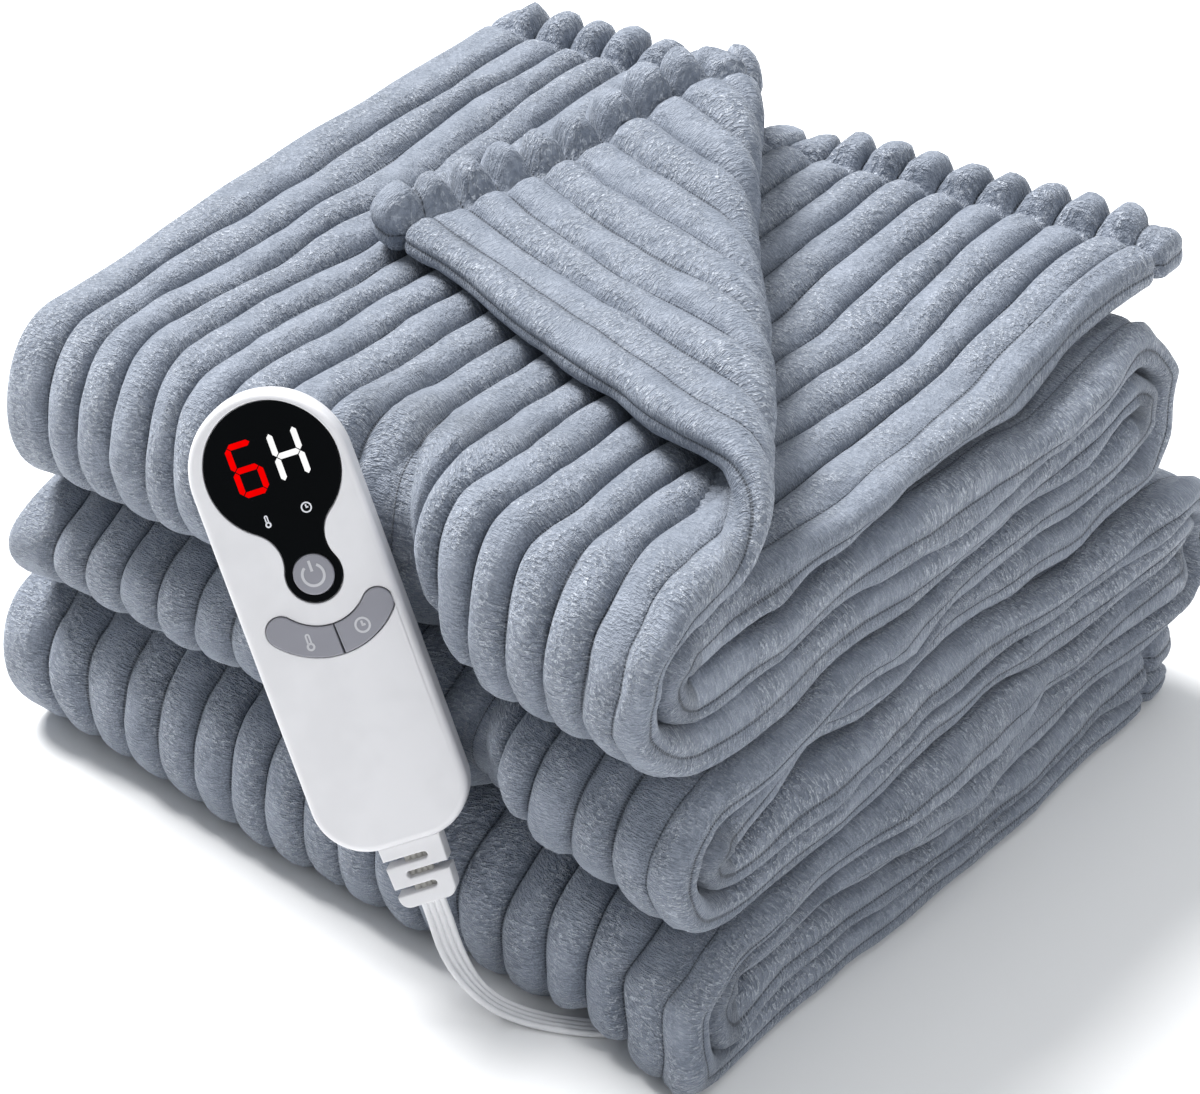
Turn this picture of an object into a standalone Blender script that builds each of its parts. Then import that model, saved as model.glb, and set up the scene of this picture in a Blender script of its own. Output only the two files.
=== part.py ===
"""Electric heated throw, folded to a stack, with its wired hand controller.

The throw is one sheet of ribbed plush. It is pleated in four plies across its width, which makes two
soft pairs, each closed by a round edge on +X, and the pleated strip then runs back and forth in six
arms. The loose corner of the uppermost pair is turned back over the top. The controller leans on the
front bulges and its flat cord goes back under the lowest one.

Frame: metres, +Z up. The fold lines run along X, the ribs along Y, the front bulges look to -Y. The
origin is at the middle of the stack, on the surface that it rests on.
"""

import math
from collections import namedtuple

import bmesh
import bpy
from mathutils import Matrix, Vector

# Folded throw
RIB_PITCH = 0.017
RIBS = 18
WIDTH = RIBS * RIB_PITCH
DEPTH = 0.277
RIB_DEPTH = 0.0042
PAIR_HALF = 0.0070  # from the middle of a pair of plies to the crest of its ribs
PLY_SLOT = 0.0007  # between the two plies of a pair
PAIR_SLOT = 0.00075  # between the two pairs of an arm
ARM_SLOT = 0.0022  # between two arms
PAIR_MID = PAIR_HALF + PAIR_SLOT / 2
ARM_HALF = PAIR_MID + PAIR_HALF
ARM_PITCH = 2 * ARM_HALF + ARM_SLOT
ARMS = 6
PLY_CORE = (PAIR_HALF + PLY_SLOT / 2) / 2  # from the middle of a pair to the middle of a ply
EDGE_SEAM = 0.013  # from the +X edge to the nearest rib valley
TURN = ARM_PITCH / 2
FRONT_STEPS = 5
BACK_STEPS = 4
OUTER_TURN = TURN + ARM_HALF

# How far each round turn reaches past the plain stack at its two ends, how far that fold is moved to
# +X, and how much wider the cloth has spread there
Fold = namedtuple("Fold", "reach_left reach_right shift widen")
FOLDS = (
    Fold(reach_left=0.002, reach_right=0.008, shift=0.000, widen=1.05),  # lowest hem, back
    Fold(reach_left=0.006, reach_right=0.014, shift=0.002, widen=1.075),  # lowest bulge, front
    Fold(reach_left=0.006, reach_right=0.026, shift=0.001, widen=1.04),  # lower bulge, back
    Fold(reach_left=0.002, reach_right=0.019, shift=0.002, widen=1.03),  # middle bulge, front
    Fold(reach_left=0.000, reach_right=0.003, shift=-0.001, widen=1.01),  # upper bulge, back
    Fold(reach_left=0.003, reach_right=0.027, shift=-0.001, widen=1.00),  # top bulge, front
    Fold(reach_left=0.006, reach_right=0.003, shift=-0.007, widen=0.96),  # topmost hem, back
)
LOWER_PAIR_REACH = 0.021  # the topmost hem's lower pair shows this far past the upper one, at +X

# Hem: how far each station is from the cut end, and how full the cloth is there
Hem = namedtuple("Hem", "inset fullness")
HEM = (
    Hem(inset=0.0000, fullness=0.30),
    Hem(inset=0.0022, fullness=0.78),
    Hem(inset=0.0080, fullness=1.00),
    Hem(inset=0.0155, fullness=0.62),
    Hem(inset=0.0215, fullness=1.00),
)

# How far the gaps between the bulges have sunk or risen, at the two ends of the front
Sag = namedtuple("Sag", "height left right")
SAGS = (
    Sag(height=2 * ARM_PITCH, left=0.002, right=-0.004),
    Sag(height=4 * ARM_PITCH, left=-0.012, right=-0.011),
)
SAG_FADE = (0.060, 0.180)  # from this Y towards the front, and over this length

# The stack has sunk towards its front left corner, and its back stands a little higher
DROOP = 0.016
DROOP_FROM = 0.030  # from this X to the left, and over this length
DROOP_OVER = 0.183
DROOP_CURVE = 2.2
DROOP_FADE = (0.050, 0.190)
LIFT_LEFT = 0.005
LIFT_RIGHT = 0.011
LIFT_FADE = (0.030, 0.100)
SPREAD_LEFT = 0.002  # the lowest bulge's foot has spread this far on the surface
SPREAD_RIGHT = 0.021
SPREAD_HEIGHT = 0.045
SPREAD_FROM = (0.080, 0.045)
RIBS_AT_FOOT = 0.02  # what is left of the ribs' height where that bulge meets the surface
SWAY = 0.0014
SWAY_ALONG = 0.190
SWAY_ACROSS = 0.215
SWAY_UP = 0.140

# Corner that is turned back: its fold's direction and place, and how it lies
FOLD_NORMAL = math.radians(37.9)  # from +X towards +Y
FOLD_PLACE = 0.0412  # from the origin along that normal
ROLL_RADIUS = 0.0100
ROLL_STEPS = 6
FLAP_REST = 0.0008  # between the turned corner and the ribs it lies on
FLAP_SETTLE = 0.066  # the corner has come down to them this far from its fold

# Controller, whose frame is X across, Y towards the display end and Z out of its face
BODY_LENGTH = 0.157
BODY_WIDTH = 0.0537
BODY_THICK = 0.017
FRONT_ROUND = 0.0024
BACK_ROUND = 0.0090
LOWER_CORNER = 0.0185
CONTROLLER_AT = Vector((0.0143, -0.1565, 0.1271))
CONTROLLER_YAW = math.radians(32)
CONTROLLER_TILT = math.radians(18)
CONTROLLER_ROLL = math.radians(21.4)
FIT = 0.0003

DISPLAY_AT = Vector((0.0014, 0.0529))
DISPLAY_RADIUS = 0.0224
POWER_AT = Vector((0.0024, 0.0162))
POWER_RIM = 0.0094
PANEL_NECK = 0.0120  # radius of the hollows between the panel's two circles
PANEL_THICK = 0.0012
POWER_RADIUS = 0.0068
KEY_RADIUS = 0.0226  # middle of the two curved keys, about the power key
KEY_HALF = 0.0051
KEY_END = math.radians(48)  # from straight down to the middle of a key's round end
KEY_SPLIT = math.radians(1.6)
KEY_PROUD = 0.0007
KEY_THICK = 0.0034
KEY_TRAVEL = 0.0010
WELL_DEPTH = KEY_THICK - KEY_PROUD + KEY_TRAVEL + FIT

RELIEF_SIZE = Vector((0.0205, 0.0220, 0.0086))
RELIEF_OUT = 0.0005  # its middle is this far in front of the body's
SLOT_SIZE = Vector((0.0152, 0.0024, 0.0120))
SLOT_PITCH = 0.0051

# How the front bulges take the controller: hollowed or swollen to its back
SEAT_GAP = 0.0010
SEAT_HOLLOW = 0.026
SEAT_SWELL = 0.004
SEAT_MARGIN = 0.006
SEAT_WIDEN = 0.8  # wider for the layers behind
SEAT_FADE = 0.034
SEAT_DEPTH = 0.075

# Cord: route of its middle from the strain relief to where it goes under the lowest bulge
CORD_WIDTH = 0.0084
CORD_ROUTE = (
    (0.0686, -0.1633, 0.0242),
    (0.0728, -0.1636, 0.0183),
    (0.0780, -0.1628, 0.0131),
    (0.0844, -0.1607, 0.0088),
    (0.0920, -0.1576, 0.0060),
    (0.1010, -0.1538, 0.0047),
    (0.1098, -0.1496, 0.0045),
    (0.1166, -0.1457, 0.0045),
    (0.1225, -0.1413, 0.0045),
)
CORD_STEP = 0.006
ENTRY_AT = Vector((0.1200, -0.1450, 0.0060))
ENTRY_HOLLOW = 0.0200
ENTRY_SPREAD = 0.0195

GRAPHITE = (0.012, 0.012, 0.015)
WHITE = (0.84, 0.83, 0.85)
GREY = (0.30, 0.30, 0.34)
PLUSH = (0.26, 0.30, 0.37)


def clear_scene():
    for item in list(bpy.data.objects):
        bpy.data.objects.remove(item, do_unlink=True)


def collection(name):
    made = bpy.data.collections.new(name)
    bpy.context.scene.collection.children.link(made)
    return made


def material(name, colour, roughness, metallic=0.0):
    made = bpy.data.materials.new(name)
    made.use_nodes = True
    shader = made.node_tree.nodes["Principled BSDF"]
    shader.inputs["Base Color"].default_value = (*colour, 1.0)
    shader.inputs["Roughness"].default_value = roughness
    shader.inputs["Metallic"].default_value = metallic
    return made


def mesh_object(name, mesh, parts, look=None, frame=None):
    data = bpy.data.meshes.new(name)
    mesh.to_mesh(data)
    mesh.free()
    if look:
        data.materials.append(look)
    made = bpy.data.objects.new(name, data)
    if frame:
        made.matrix_world = frame
    parts.objects.link(made)
    return made


def smoothstep(x):
    x = min(1.0, max(0.0, x))
    return x * x * (3 - 2 * x)


def mix(a, b, share):
    return a + (b - a) * share


# ---------------------------------------------------------------- the throw's section, across X

# A point lies `rise` from (u, w) along (du, dw); a valley is lower by the rib depth times `dent`.
# Where its zone's ribs are pressed flat, only the knots of a run are modelled.
Point = namedtuple("Point", "u w du dw rise dent zone knot")


def rib_run(pair, side, zone):
    """A pair's ribbed face, valley and crest in turn, from the +X edge to the -X one."""
    points = []
    first = WIDTH / 2 - EDGE_SEAM
    for rib in range(RIBS - 1):
        valley = first - rib * RIB_PITCH
        knot = rib % 2 == 0
        points.append(Point(valley, pair * PAIR_MID, 0, side, PAIR_HALF, 1.0, zone, knot))
        crest = valley - RIB_PITCH / 2
        points.append(Point(crest, pair * PAIR_MID, 0, side, PAIR_HALF, 0.0, zone, False))
    return points


def plain_run(pair, side):
    """The plain face of a ply on one side of the slot in a pair, from the +X end to the -X one."""
    first = WIDTH / 2 - EDGE_SEAM
    return [
        plain(first - rib * RIB_PITCH, pair * PAIR_MID, 0, side, PLY_SLOT / 2)
        for rib in range(2, RIBS - 1, 2)
    ]


def plain(u, w, du, dw, rise):
    return Point(u, w, du, dw, rise, 0.0, "plain", True)


def closed_edge(pair):
    """The round +X edge of a pair, from below to above, with the seam along its middle."""
    points = []
    for degrees, dent in ((-70, 0.0), (-32, 0.05), (0, 0.40), (32, 0.05), (70, 0.0)):
        turn = math.radians(degrees)
        out = (math.cos(turn), math.sin(turn))
        points.append(
            Point(
                WIDTH / 2 - PAIR_HALF, pair * PAIR_MID, *out, PAIR_HALF, dent, "edge", True
            )
        )
    return points


def cut_edge(pair, side):
    """The rounded -X edge of an outer ply, from its ribbed face to its plain one."""
    levels = ((0.0028, 0.0062), (0.0, PLY_CORE), (0.0024, 0.0009))
    return [
        plain(inset - WIDTH / 2, pair * PAIR_MID, 0, side, level) for inset, level in levels
    ]


def inner_fold():
    """The -X fold that joins the two pairs, seen from outside, from above to below."""
    points = []
    for degrees in (90, 135, 180, 225, 270):
        turn = math.radians(degrees)
        out = (math.cos(turn), math.sin(turn))
        points.append(plain(PAIR_HALF - WIDTH / 2, 0, *out, PAIR_MID - PLY_SLOT / 2))
    return points


def section():
    """The closed outline of the pleated strip, split into its upper and its lower pair of plies."""
    inner_end = WIDTH / 2 - PAIR_HALF
    fold = inner_fold()
    upper = [plain(-inner_end, 0, 0, 1, PAIR_SLOT / 2)]
    upper += list(reversed(rib_run(1, -1, "upper")))
    upper += closed_edge(1)
    upper += rib_run(1, 1, "over")
    upper += cut_edge(1, 1)
    upper += list(reversed(plain_run(1, 1)))
    upper.append(plain(inner_end, PAIR_MID, 0, 1, PLY_SLOT / 2))
    upper.append(plain(inner_end, PAIR_MID, 0, -1, PLY_SLOT / 2))
    upper += plain_run(1, -1)
    upper += fold[:3]
    lower = fold[3:]
    lower += list(reversed(plain_run(-1, 1)))
    lower.append(plain(inner_end, -PAIR_MID, 0, 1, PLY_SLOT / 2))
    lower.append(plain(inner_end, -PAIR_MID, 0, -1, PLY_SLOT / 2))
    lower += plain_run(-1, -1)
    lower += list(reversed(cut_edge(-1, -1)))
    lower += list(reversed(rib_run(-1, -1, "under")))
    lower += closed_edge(-1)
    lower += rib_run(-1, 1, "lower")
    lower.append(plain(-inner_end, 0, 0, -1, PAIR_SLOT / 2))
    return upper, lower


# ---------------------------------------------------------------- the back-and-forth path, in YZ

Station = namedtuple("Station", "left right z ty tz arm fullness shift widen over under")


def arm_height(arm):
    return ARM_HALF + arm * ARM_PITCH


def hem_stations(fold, arm, heading):
    """Stations at a hem on the back, from the cut end inward."""
    row = FOLDS[fold]
    stations = []
    for hem in HEM:
        end = DEPTH / 2 - hem.inset
        stations.append(
            Station(
                left=end + row.reach_left,
                right=end + row.reach_right,
                z=arm_height(arm),
                ty=heading,
                tz=0,
                arm=arm,
                fullness=hem.fullness,
                shift=row.shift,
                widen=row.widen,
                over=1 if fold == ARMS else 0,
                under=0,
            )
        )
    return stations


def turn_stations(fold):
    """Stations round one turn, from the arm below to the arm above; odd folds are at the front."""
    row = FOLDS[fold]
    front = fold % 2 == 1
    side = -1 if front else 1
    steps = FRONT_STEPS if front else BACK_STEPS
    middle = (arm_height(fold - 1) + arm_height(fold)) / 2
    stations = []
    for step in range(steps + 1):
        turn = math.pi * step / steps
        inward = DEPTH / 2 - OUTER_TURN + TURN * math.sin(turn)
        topmost = fold == ARMS - 1 and step == steps
        outside = 1 if 0 < step < steps or topmost else 0
        if fold == 1 and step == 0:
            outside = RIBS_AT_FOOT
        stations.append(
            Station(
                left=side * (inward + row.reach_left),
                right=side * (inward + row.reach_right),
                z=middle - TURN * math.cos(turn),
                ty=side * math.cos(turn),
                tz=math.sin(turn),
                arm=fold - 1 + step / steps,
                fullness=1.0,
                shift=row.shift,
                widen=row.widen,
                over=outside if front else 0,
                under=0 if front else outside,
            )
        )
    return stations


def between(first, last, share):
    """A station on the straight stretch from one to the other."""
    values = [mix(a, b, share) for a, b in zip(first, last)]
    return Station(*values)


def path():
    """Every station of the strip from the lowest hem to the topmost one."""
    stations = hem_stations(0, 0, -1)
    for fold in range(1, ARMS):
        stations += turn_stations(fold)
    top = list(reversed(hem_stations(ARMS, ARMS - 1, 1)))
    last = stations[-1]
    return stations + [between(last, top[0], share) for share in (0.12, 0.5)] + top


def rib_height(zone, station):
    """1 where the ribs stand full, 0 where they are pressed flat against the next layer."""
    if zone in ("lower", "upper"):
        return 1.0 if station.arm >= ARMS - 1 else 0.0
    if zone == "over":
        return station.over
    if zone == "under":
        return station.under
    return 1.0


def place(point, station):
    """Where a section point lies at a station."""
    dent = RIB_DEPTH * point.dent * rib_height(point.zone, station)
    out = PLY_CORE + (point.rise - dent - PLY_CORE) * station.fullness
    u = (point.u + point.du * out) * station.widen
    w = point.w + point.dw * out
    across = u / WIDTH + 0.5
    y = mix(station.left, station.right, across) - station.tz * w
    if w < 0 and station.arm >= ARMS - 1:
        y += LOWER_PAIR_REACH * across * smoothstep(y / (DEPTH / 2))
    return Vector((u + station.shift, y, station.z + station.ty * w))


# ---------------------------------------------------------------- the corner that is turned back


def fold_normal():
    return Vector((math.cos(FOLD_NORMAL), math.sin(FOLD_NORMAL), 0))


def rolled(spot):
    """A point of the topmost pair, after its corner has been turned back over the arm."""
    normal = fold_normal()
    past = normal.dot(spot) - FOLD_PLACE
    if past <= 0:
        return spot
    middle = arm_height(ARMS - 1) + PAIR_MID
    off = spot.z - middle
    turn = min(past / ROLL_RADIUS, math.pi)
    along = (ROLL_RADIUS - off) * math.sin(turn)
    height = middle + ROLL_RADIUS * (1 - math.cos(turn)) + off * math.cos(turn)
    beyond = past - math.pi * ROLL_RADIUS
    if beyond > 0:
        along -= beyond
        spare = 2 * (ROLL_RADIUS - PAIR_HALF) - FLAP_REST
        height -= spare * smoothstep(beyond / FLAP_SETTLE)
    moved = spot + normal * (along - past)
    return Vector((moved.x, moved.y, height))


def cut_across_roll(mesh, faces):
    """Edges along the roll, and where the corner settles, so that it bends there."""
    normal = fold_normal()
    half_turn = math.pi * ROLL_RADIUS
    places = [half_turn * step / ROLL_STEPS for step in range(ROLL_STEPS + 1)]
    places += [half_turn + FLAP_SETTLE * share for share in (0.33, 0.67, 1.0)]
    for distance in places:
        geometry = set(faces)
        for face in faces:
            geometry.update(face.edges)
            geometry.update(face.verts)
        made = bmesh.ops.bisect_plane(
            mesh,
            geom=list(geometry),
            plane_co=normal * (FOLD_PLACE + distance),
            plane_no=normal,
        )
        faces = [item for item in made["geom"] if isinstance(item, bmesh.types.BMFace)]


# ---------------------------------------------------------------- what weight and use do to it


def settled(spot):
    """The gaps between the bulges sink or rise towards the front, and the left corner droops."""
    across = spot.x / WIDTH + 0.5
    share = spot.z / (ARMS * ARM_PITCH)
    rise = 0.0
    for sag in SAGS:
        near = max(0.0, 1 - abs(spot.z - sag.height) / (2 * ARM_PITCH))
        rise += mix(sag.left, sag.right, across) * near
    rise *= smoothstep((SAG_FADE[0] - spot.y) / SAG_FADE[1])
    leftward = min(1.0, max(0.0, (DROOP_FROM - spot.x) / DROOP_OVER))
    frontward = smoothstep((DROOP_FADE[0] - spot.y) / DROOP_FADE[1])
    rise -= DROOP * leftward**DROOP_CURVE * frontward * share
    lift = mix(LIFT_LEFT, LIFT_RIGHT, across)
    rise += lift * smoothstep((spot.y - LIFT_FADE[0]) / LIFT_FADE[1]) * share**3
    foot = max(0.0, 1 - spot.z / SPREAD_HEIGHT)
    outward = mix(SPREAD_LEFT, SPREAD_RIGHT, across) * foot * foot
    outward *= smoothstep((-SPREAD_FROM[0] - spot.y) / SPREAD_FROM[1])
    return Vector((spot.x, spot.y - outward, spot.z + rise))


def swayed(spot):
    """Edges and bulges wander a little from straight."""
    x = spot.x + SWAY * math.sin(2 * math.pi * (spot.y / SWAY_ALONG + spot.z / SWAY_UP))
    y = spot.y + SWAY * math.sin(2 * math.pi * (spot.x / SWAY_ACROSS - spot.z / SWAY_UP))
    return Vector((x, y, spot.z))


def controller_frame():
    turn = (
        Matrix.Rotation(CONTROLLER_YAW, 4, "Z")
        @ Matrix.Rotation(math.pi / 2 - CONTROLLER_TILT, 4, "X")
        @ Matrix.Rotation(CONTROLLER_ROLL, 4, "Z")
    )
    return Matrix.Translation(CONTROLLER_AT) @ turn


def front_crest(spot):
    """Y of the front bulges' crests at a height, between the rows of their folds."""
    across = spot.x / WIDTH + 0.5
    level = min(2.0, max(0.0, (spot.z / ARM_PITCH - 1) / 2))
    lower = int(min(1, level))
    reach = [mix(FOLDS[f].reach_left, FOLDS[f].reach_right, across) for f in (1, 3, 5)]
    return -DEPTH / 2 - mix(reach[lower], reach[lower + 1], level - lower)


def seated(spot, frame):
    """The front bulges give way to the controller's back, or swell up to it."""
    inverse = frame.inverted()
    out = frame.to_3x3().col[2]
    # where the line through the spot along Y meets the back
    local = inverse @ spot
    back = -BODY_THICK / 2 - SEAT_GAP
    back_y = spot.y + (back - local.z) / out.y
    touch = inverse @ Vector((spot.x, back_y, spot.z))
    nearest = Vector(
        (
            min(BODY_WIDTH / 2, max(-BODY_WIDTH / 2, touch.x)),
            min(BODY_LENGTH / 2, max(-BODY_LENGTH / 2, touch.y)),
            touch.z,
        )
    )
    depth = spot.y - front_crest(spot)
    away = (touch - nearest).length - SEAT_MARGIN - SEAT_WIDEN * max(0.0, depth)
    push = (frame @ nearest).y - front_crest(spot)
    push = min(SEAT_HOLLOW, max(-SEAT_SWELL, push))
    push *= 1 - smoothstep(away / SEAT_FADE)
    return Vector((spot.x, spot.y + push * (1 - smoothstep(depth / SEAT_DEPTH)), spot.z))


def parted(spot):
    """The lowest bulge gives way where the cord goes under it."""
    away = (spot - ENTRY_AT).length / ENTRY_SPREAD
    return Vector((spot.x, spot.y + ENTRY_HOLLOW * math.exp(-away * away), spot.z))


def ring_of(mesh, loop, station):
    """A vertex for every point of the section that is modelled at a station, None for the rest."""
    return [
        mesh.verts.new(place(point, station))
        if point.knot or rib_height(point.zone, station) > 0
        else None
        for point in loop
    ]


def skin(mesh, loop, first, second):
    """Faces between two rings: from column to column, or from knot to knot where one has no more."""
    knots = [i for i, point in enumerate(loop) if point.knot]
    for start, end in zip(knots, knots[1:] + [len(loop)]):
        columns = [i % len(loop) for i in range(start, end + 1)]
        if all(first[i] and second[i] for i in columns):
            for i, j in zip(columns, columns[1:]):
                mesh.faces.new((first[i], first[j], second[j], second[i]))
        else:
            near = [first[i] for i in columns if first[i]]
            far = [second[i] for i in reversed(columns) if second[i]]
            mesh.faces.new(near + far)


def cap(mesh, ring, seam, flip):
    """Two faces over a hem's end, one for each pair of plies."""
    upper = [vert for vert in ring[:seam] if vert]
    lower = [vert for vert in ring[seam:] if vert]
    for face in (upper, [upper[-1]] + lower + [upper[0]]):
        mesh.faces.new(list(reversed(face)) if flip else face)


def blanket(parts, look):
    upper, lower = section()
    loop = upper + lower
    frame = controller_frame()
    mesh = bmesh.new()
    rings = [ring_of(mesh, loop, station) for station in path()]
    for first, second in zip(rings, rings[1:]):
        skin(mesh, loop, first, second)
    cap(mesh, rings[0], len(upper), True)
    cap(mesh, rings[-1], len(upper), False)
    split = arm_height(ARMS - 1) - FIT
    loose = [face for face in mesh.faces if all(vert.co.z > split for vert in face.verts)]
    cut_across_roll(mesh, loose)
    many_sided = [face for face in mesh.faces if len(face.verts) > 4]
    bmesh.ops.triangulate(mesh, faces=many_sided, ngon_method="BEAUTY")
    for vert in mesh.verts:
        if vert.co.z > split:
            vert.co = rolled(vert.co)
    for vert in mesh.verts:
        vert.co = parted(seated(swayed(settled(vert.co)), frame))
    bmesh.ops.recalc_face_normals(mesh, faces=mesh.faces)
    return mesh_object("blanket", mesh, parts, look)


# ---------------------------------------------------------------- outlines of the controller, in XY


def arc(centre, radius, first, last, steps):
    """Points from one angle to the other, in degrees."""
    points = []
    for step in range(steps + 1):
        turn = math.radians(mix(first, last, step / steps))
        points.append(centre + Vector((math.cos(turn), math.sin(turn))) * radius)
    return points


def body_outline():
    """Round at the display end, square-shouldered at the cord's."""
    half = BODY_WIDTH / 2
    top = Vector((0, BODY_LENGTH / 2 - half))
    low_y = LOWER_CORNER - BODY_LENGTH / 2
    low_x = half - LOWER_CORNER
    points = arc(top, half, 0, 180, 20)
    points += arc(Vector((-low_x, low_y)), LOWER_CORNER, 180, 270, 8)
    points += arc(Vector((low_x, low_y)), LOWER_CORNER, 270, 360, 8)
    return points


def panel_outline(grow):
    """Two circles joined by a hollow neck on each side."""
    big = DISPLAY_RADIUS + grow
    small = POWER_RIM + grow
    hollow = PANEL_NECK - grow
    span = POWER_AT - DISPLAY_AT
    gap = span.length
    along = ((big + hollow) ** 2 - (small + hollow) ** 2 + gap**2) / (2 * gap)
    aside = math.sqrt((big + hollow) ** 2 - along**2)
    heading = math.degrees(math.atan2(span.y, span.x))
    at_big = math.degrees(math.atan2(aside, along))
    at_small = math.degrees(math.atan2(aside, gap - along))
    axis = span.normalized()
    side = Vector((-axis.y, axis.x))
    left_hollow = DISPLAY_AT + axis * along + side * aside
    right_hollow = DISPLAY_AT + axis * along - side * aside
    points = arc(DISPLAY_AT, big, heading + at_big, heading + 360 - at_big, 26)
    points += arc(right_hollow, hollow, heading + 180 - at_big, heading + at_small, 6)[1:-1]
    points += arc(POWER_AT, small, heading - 180 + at_small, heading + 180 - at_small, 12)
    points += arc(left_hollow, hollow, heading - at_small, heading - 180 + at_big, 6)[1:-1]
    return points


def key_outline(first, last, round_first, round_last, grow):
    """A stretch of the ring about the power key, with round or straight ends; degrees."""
    outer = KEY_RADIUS + KEY_HALF + grow
    inner = KEY_RADIUS - KEY_HALF - grow
    steps = 10
    points = arc(POWER_AT, outer, first, last, steps)
    if round_last:
        middle = arc(POWER_AT, KEY_RADIUS, last, last, 1)[0]
        points += arc(middle, KEY_HALF + grow, last, last + 180, 6)[1:-1]
    points += arc(POWER_AT, inner, last, first, steps)
    if round_first:
        middle = arc(POWER_AT, KEY_RADIUS, first, first, 1)[0]
        points += arc(middle, KEY_HALF + grow, first + 180, first + 360, 6)[1:-1]
    return points


def extruded(outline, bottom, top):
    """A closed prism over an outline, as a bmesh."""
    mesh = bmesh.new()
    face = mesh.faces.new([mesh.verts.new((*point, bottom)) for point in outline])
    made = bmesh.ops.extrude_face_region(mesh, geom=[face])
    for item in made["geom"]:
        if isinstance(item, bmesh.types.BMVert):
            item.co.z = top
    bmesh.ops.recalc_face_normals(mesh, faces=mesh.faces)
    return mesh


def rim_edges(mesh, height):
    """Edges that lie at a height."""
    return [
        edge
        for edge in mesh.edges
        if all(abs(vert.co.z - height) < 1e-6 for vert in edge.verts)
    ]


def rounded(mesh, edges, width, segments):
    bmesh.ops.bevel(
        mesh,
        geom=edges,
        offset=width,
        segments=segments,
        profile=0.5,
        affect="EDGES",
        clamp_overlap=True,
    )


def cut(target, cutter, cutters):
    """Takes a cutter's space out of a piece."""
    cutters.objects.link(cutter)
    cutter.hide_render = True
    cutter.display_type = "WIRE"
    difference = target.modifiers.new(cutter.name, "BOOLEAN")
    difference.operation = "DIFFERENCE"
    difference.solver = "EXACT"
    difference.object = cutter


def cutter_object(name, mesh, frame):
    data = bpy.data.meshes.new(name)
    mesh.to_mesh(data)
    mesh.free()
    made = bpy.data.objects.new(name, data)
    made.matrix_world = frame
    return made


# ---------------------------------------------------------------- pieces of the controller

FACE = BODY_THICK / 2


def controller_shell(parts, cutters, frame, look):
    mesh = extruded(body_outline(), -FACE, FACE)
    rounded(mesh, rim_edges(mesh, FACE), FRONT_ROUND, 3)
    rounded(mesh, rim_edges(mesh, -FACE), BACK_ROUND, 4)
    shell = mesh_object("controller_shell", mesh, parts, look, frame)
    above = FACE + 0.002
    recess = extruded(panel_outline(FIT), FACE - PANEL_THICK - FIT, above)
    cut(shell, cutter_object("cut_panel", recess, frame), cutters)
    power = bmesh.new()
    depth = PANEL_THICK + WELL_DEPTH
    bmesh.ops.create_cone(
        power,
        cap_ends=True,
        segments=32,
        radius1=POWER_RADIUS + FIT,
        radius2=POWER_RADIUS + FIT,
        depth=depth,
        matrix=Matrix.Translation((*POWER_AT, FACE - WELL_DEPTH - 0.0002 + depth / 2)),
    )
    cut(shell, cutter_object("cut_power", power, frame), cutters)
    end = math.degrees(KEY_END)
    keys = extruded(
        key_outline(-90 - end, -90 + end, True, True, FIT), FACE - WELL_DEPTH, above
    )
    cut(shell, cutter_object("cut_keys", keys, frame), cutters)
    return shell


def display_panel(parts, cutters, frame, look):
    mesh = extruded(panel_outline(0), FACE - PANEL_THICK, FACE)
    panel = mesh_object("display_panel", mesh, parts, look, frame)
    hole = bmesh.new()
    bmesh.ops.create_cone(
        hole,
        cap_ends=True,
        segments=32,
        radius1=POWER_RADIUS + FIT,
        radius2=POWER_RADIUS + FIT,
        depth=0.01,
        matrix=Matrix.Translation((*POWER_AT, FACE)),
    )
    cut(panel, cutter_object("cut_panel_hole", hole, frame), cutters)
    return panel


def power_key(parts, frame, look):
    mesh = bmesh.new()
    bmesh.ops.create_cone(
        mesh,
        cap_ends=True,
        segments=32,
        radius1=POWER_RADIUS,
        radius2=POWER_RADIUS,
        depth=KEY_THICK,
    )
    rounded(mesh, rim_edges(mesh, KEY_THICK / 2), 0.0005, 2)
    place_at = Matrix.Translation((*POWER_AT, FACE + KEY_PROUD - KEY_THICK / 2))
    return mesh_object("power_key", mesh, parts, look, frame @ place_at)


def curved_key(name, first, last, round_first, round_last, parts, frame, look):
    middle = arc(POWER_AT, KEY_RADIUS, first, last, 2)[1]
    outline = [
        point - middle for point in key_outline(first, last, round_first, round_last, 0)
    ]
    mesh = extruded(outline, -KEY_THICK / 2, KEY_THICK / 2)
    rounded(mesh, rim_edges(mesh, KEY_THICK / 2), 0.0004, 1)
    place_at = Matrix.Translation((*middle, FACE + KEY_PROUD - KEY_THICK / 2))
    return mesh_object(name, mesh, parts, look, frame @ place_at)


def relief_frame(frame):
    low = -BODY_LENGTH / 2 - FIT - RELIEF_SIZE.y / 2
    return frame @ Matrix.Translation((0, low, RELIEF_OUT))


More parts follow.
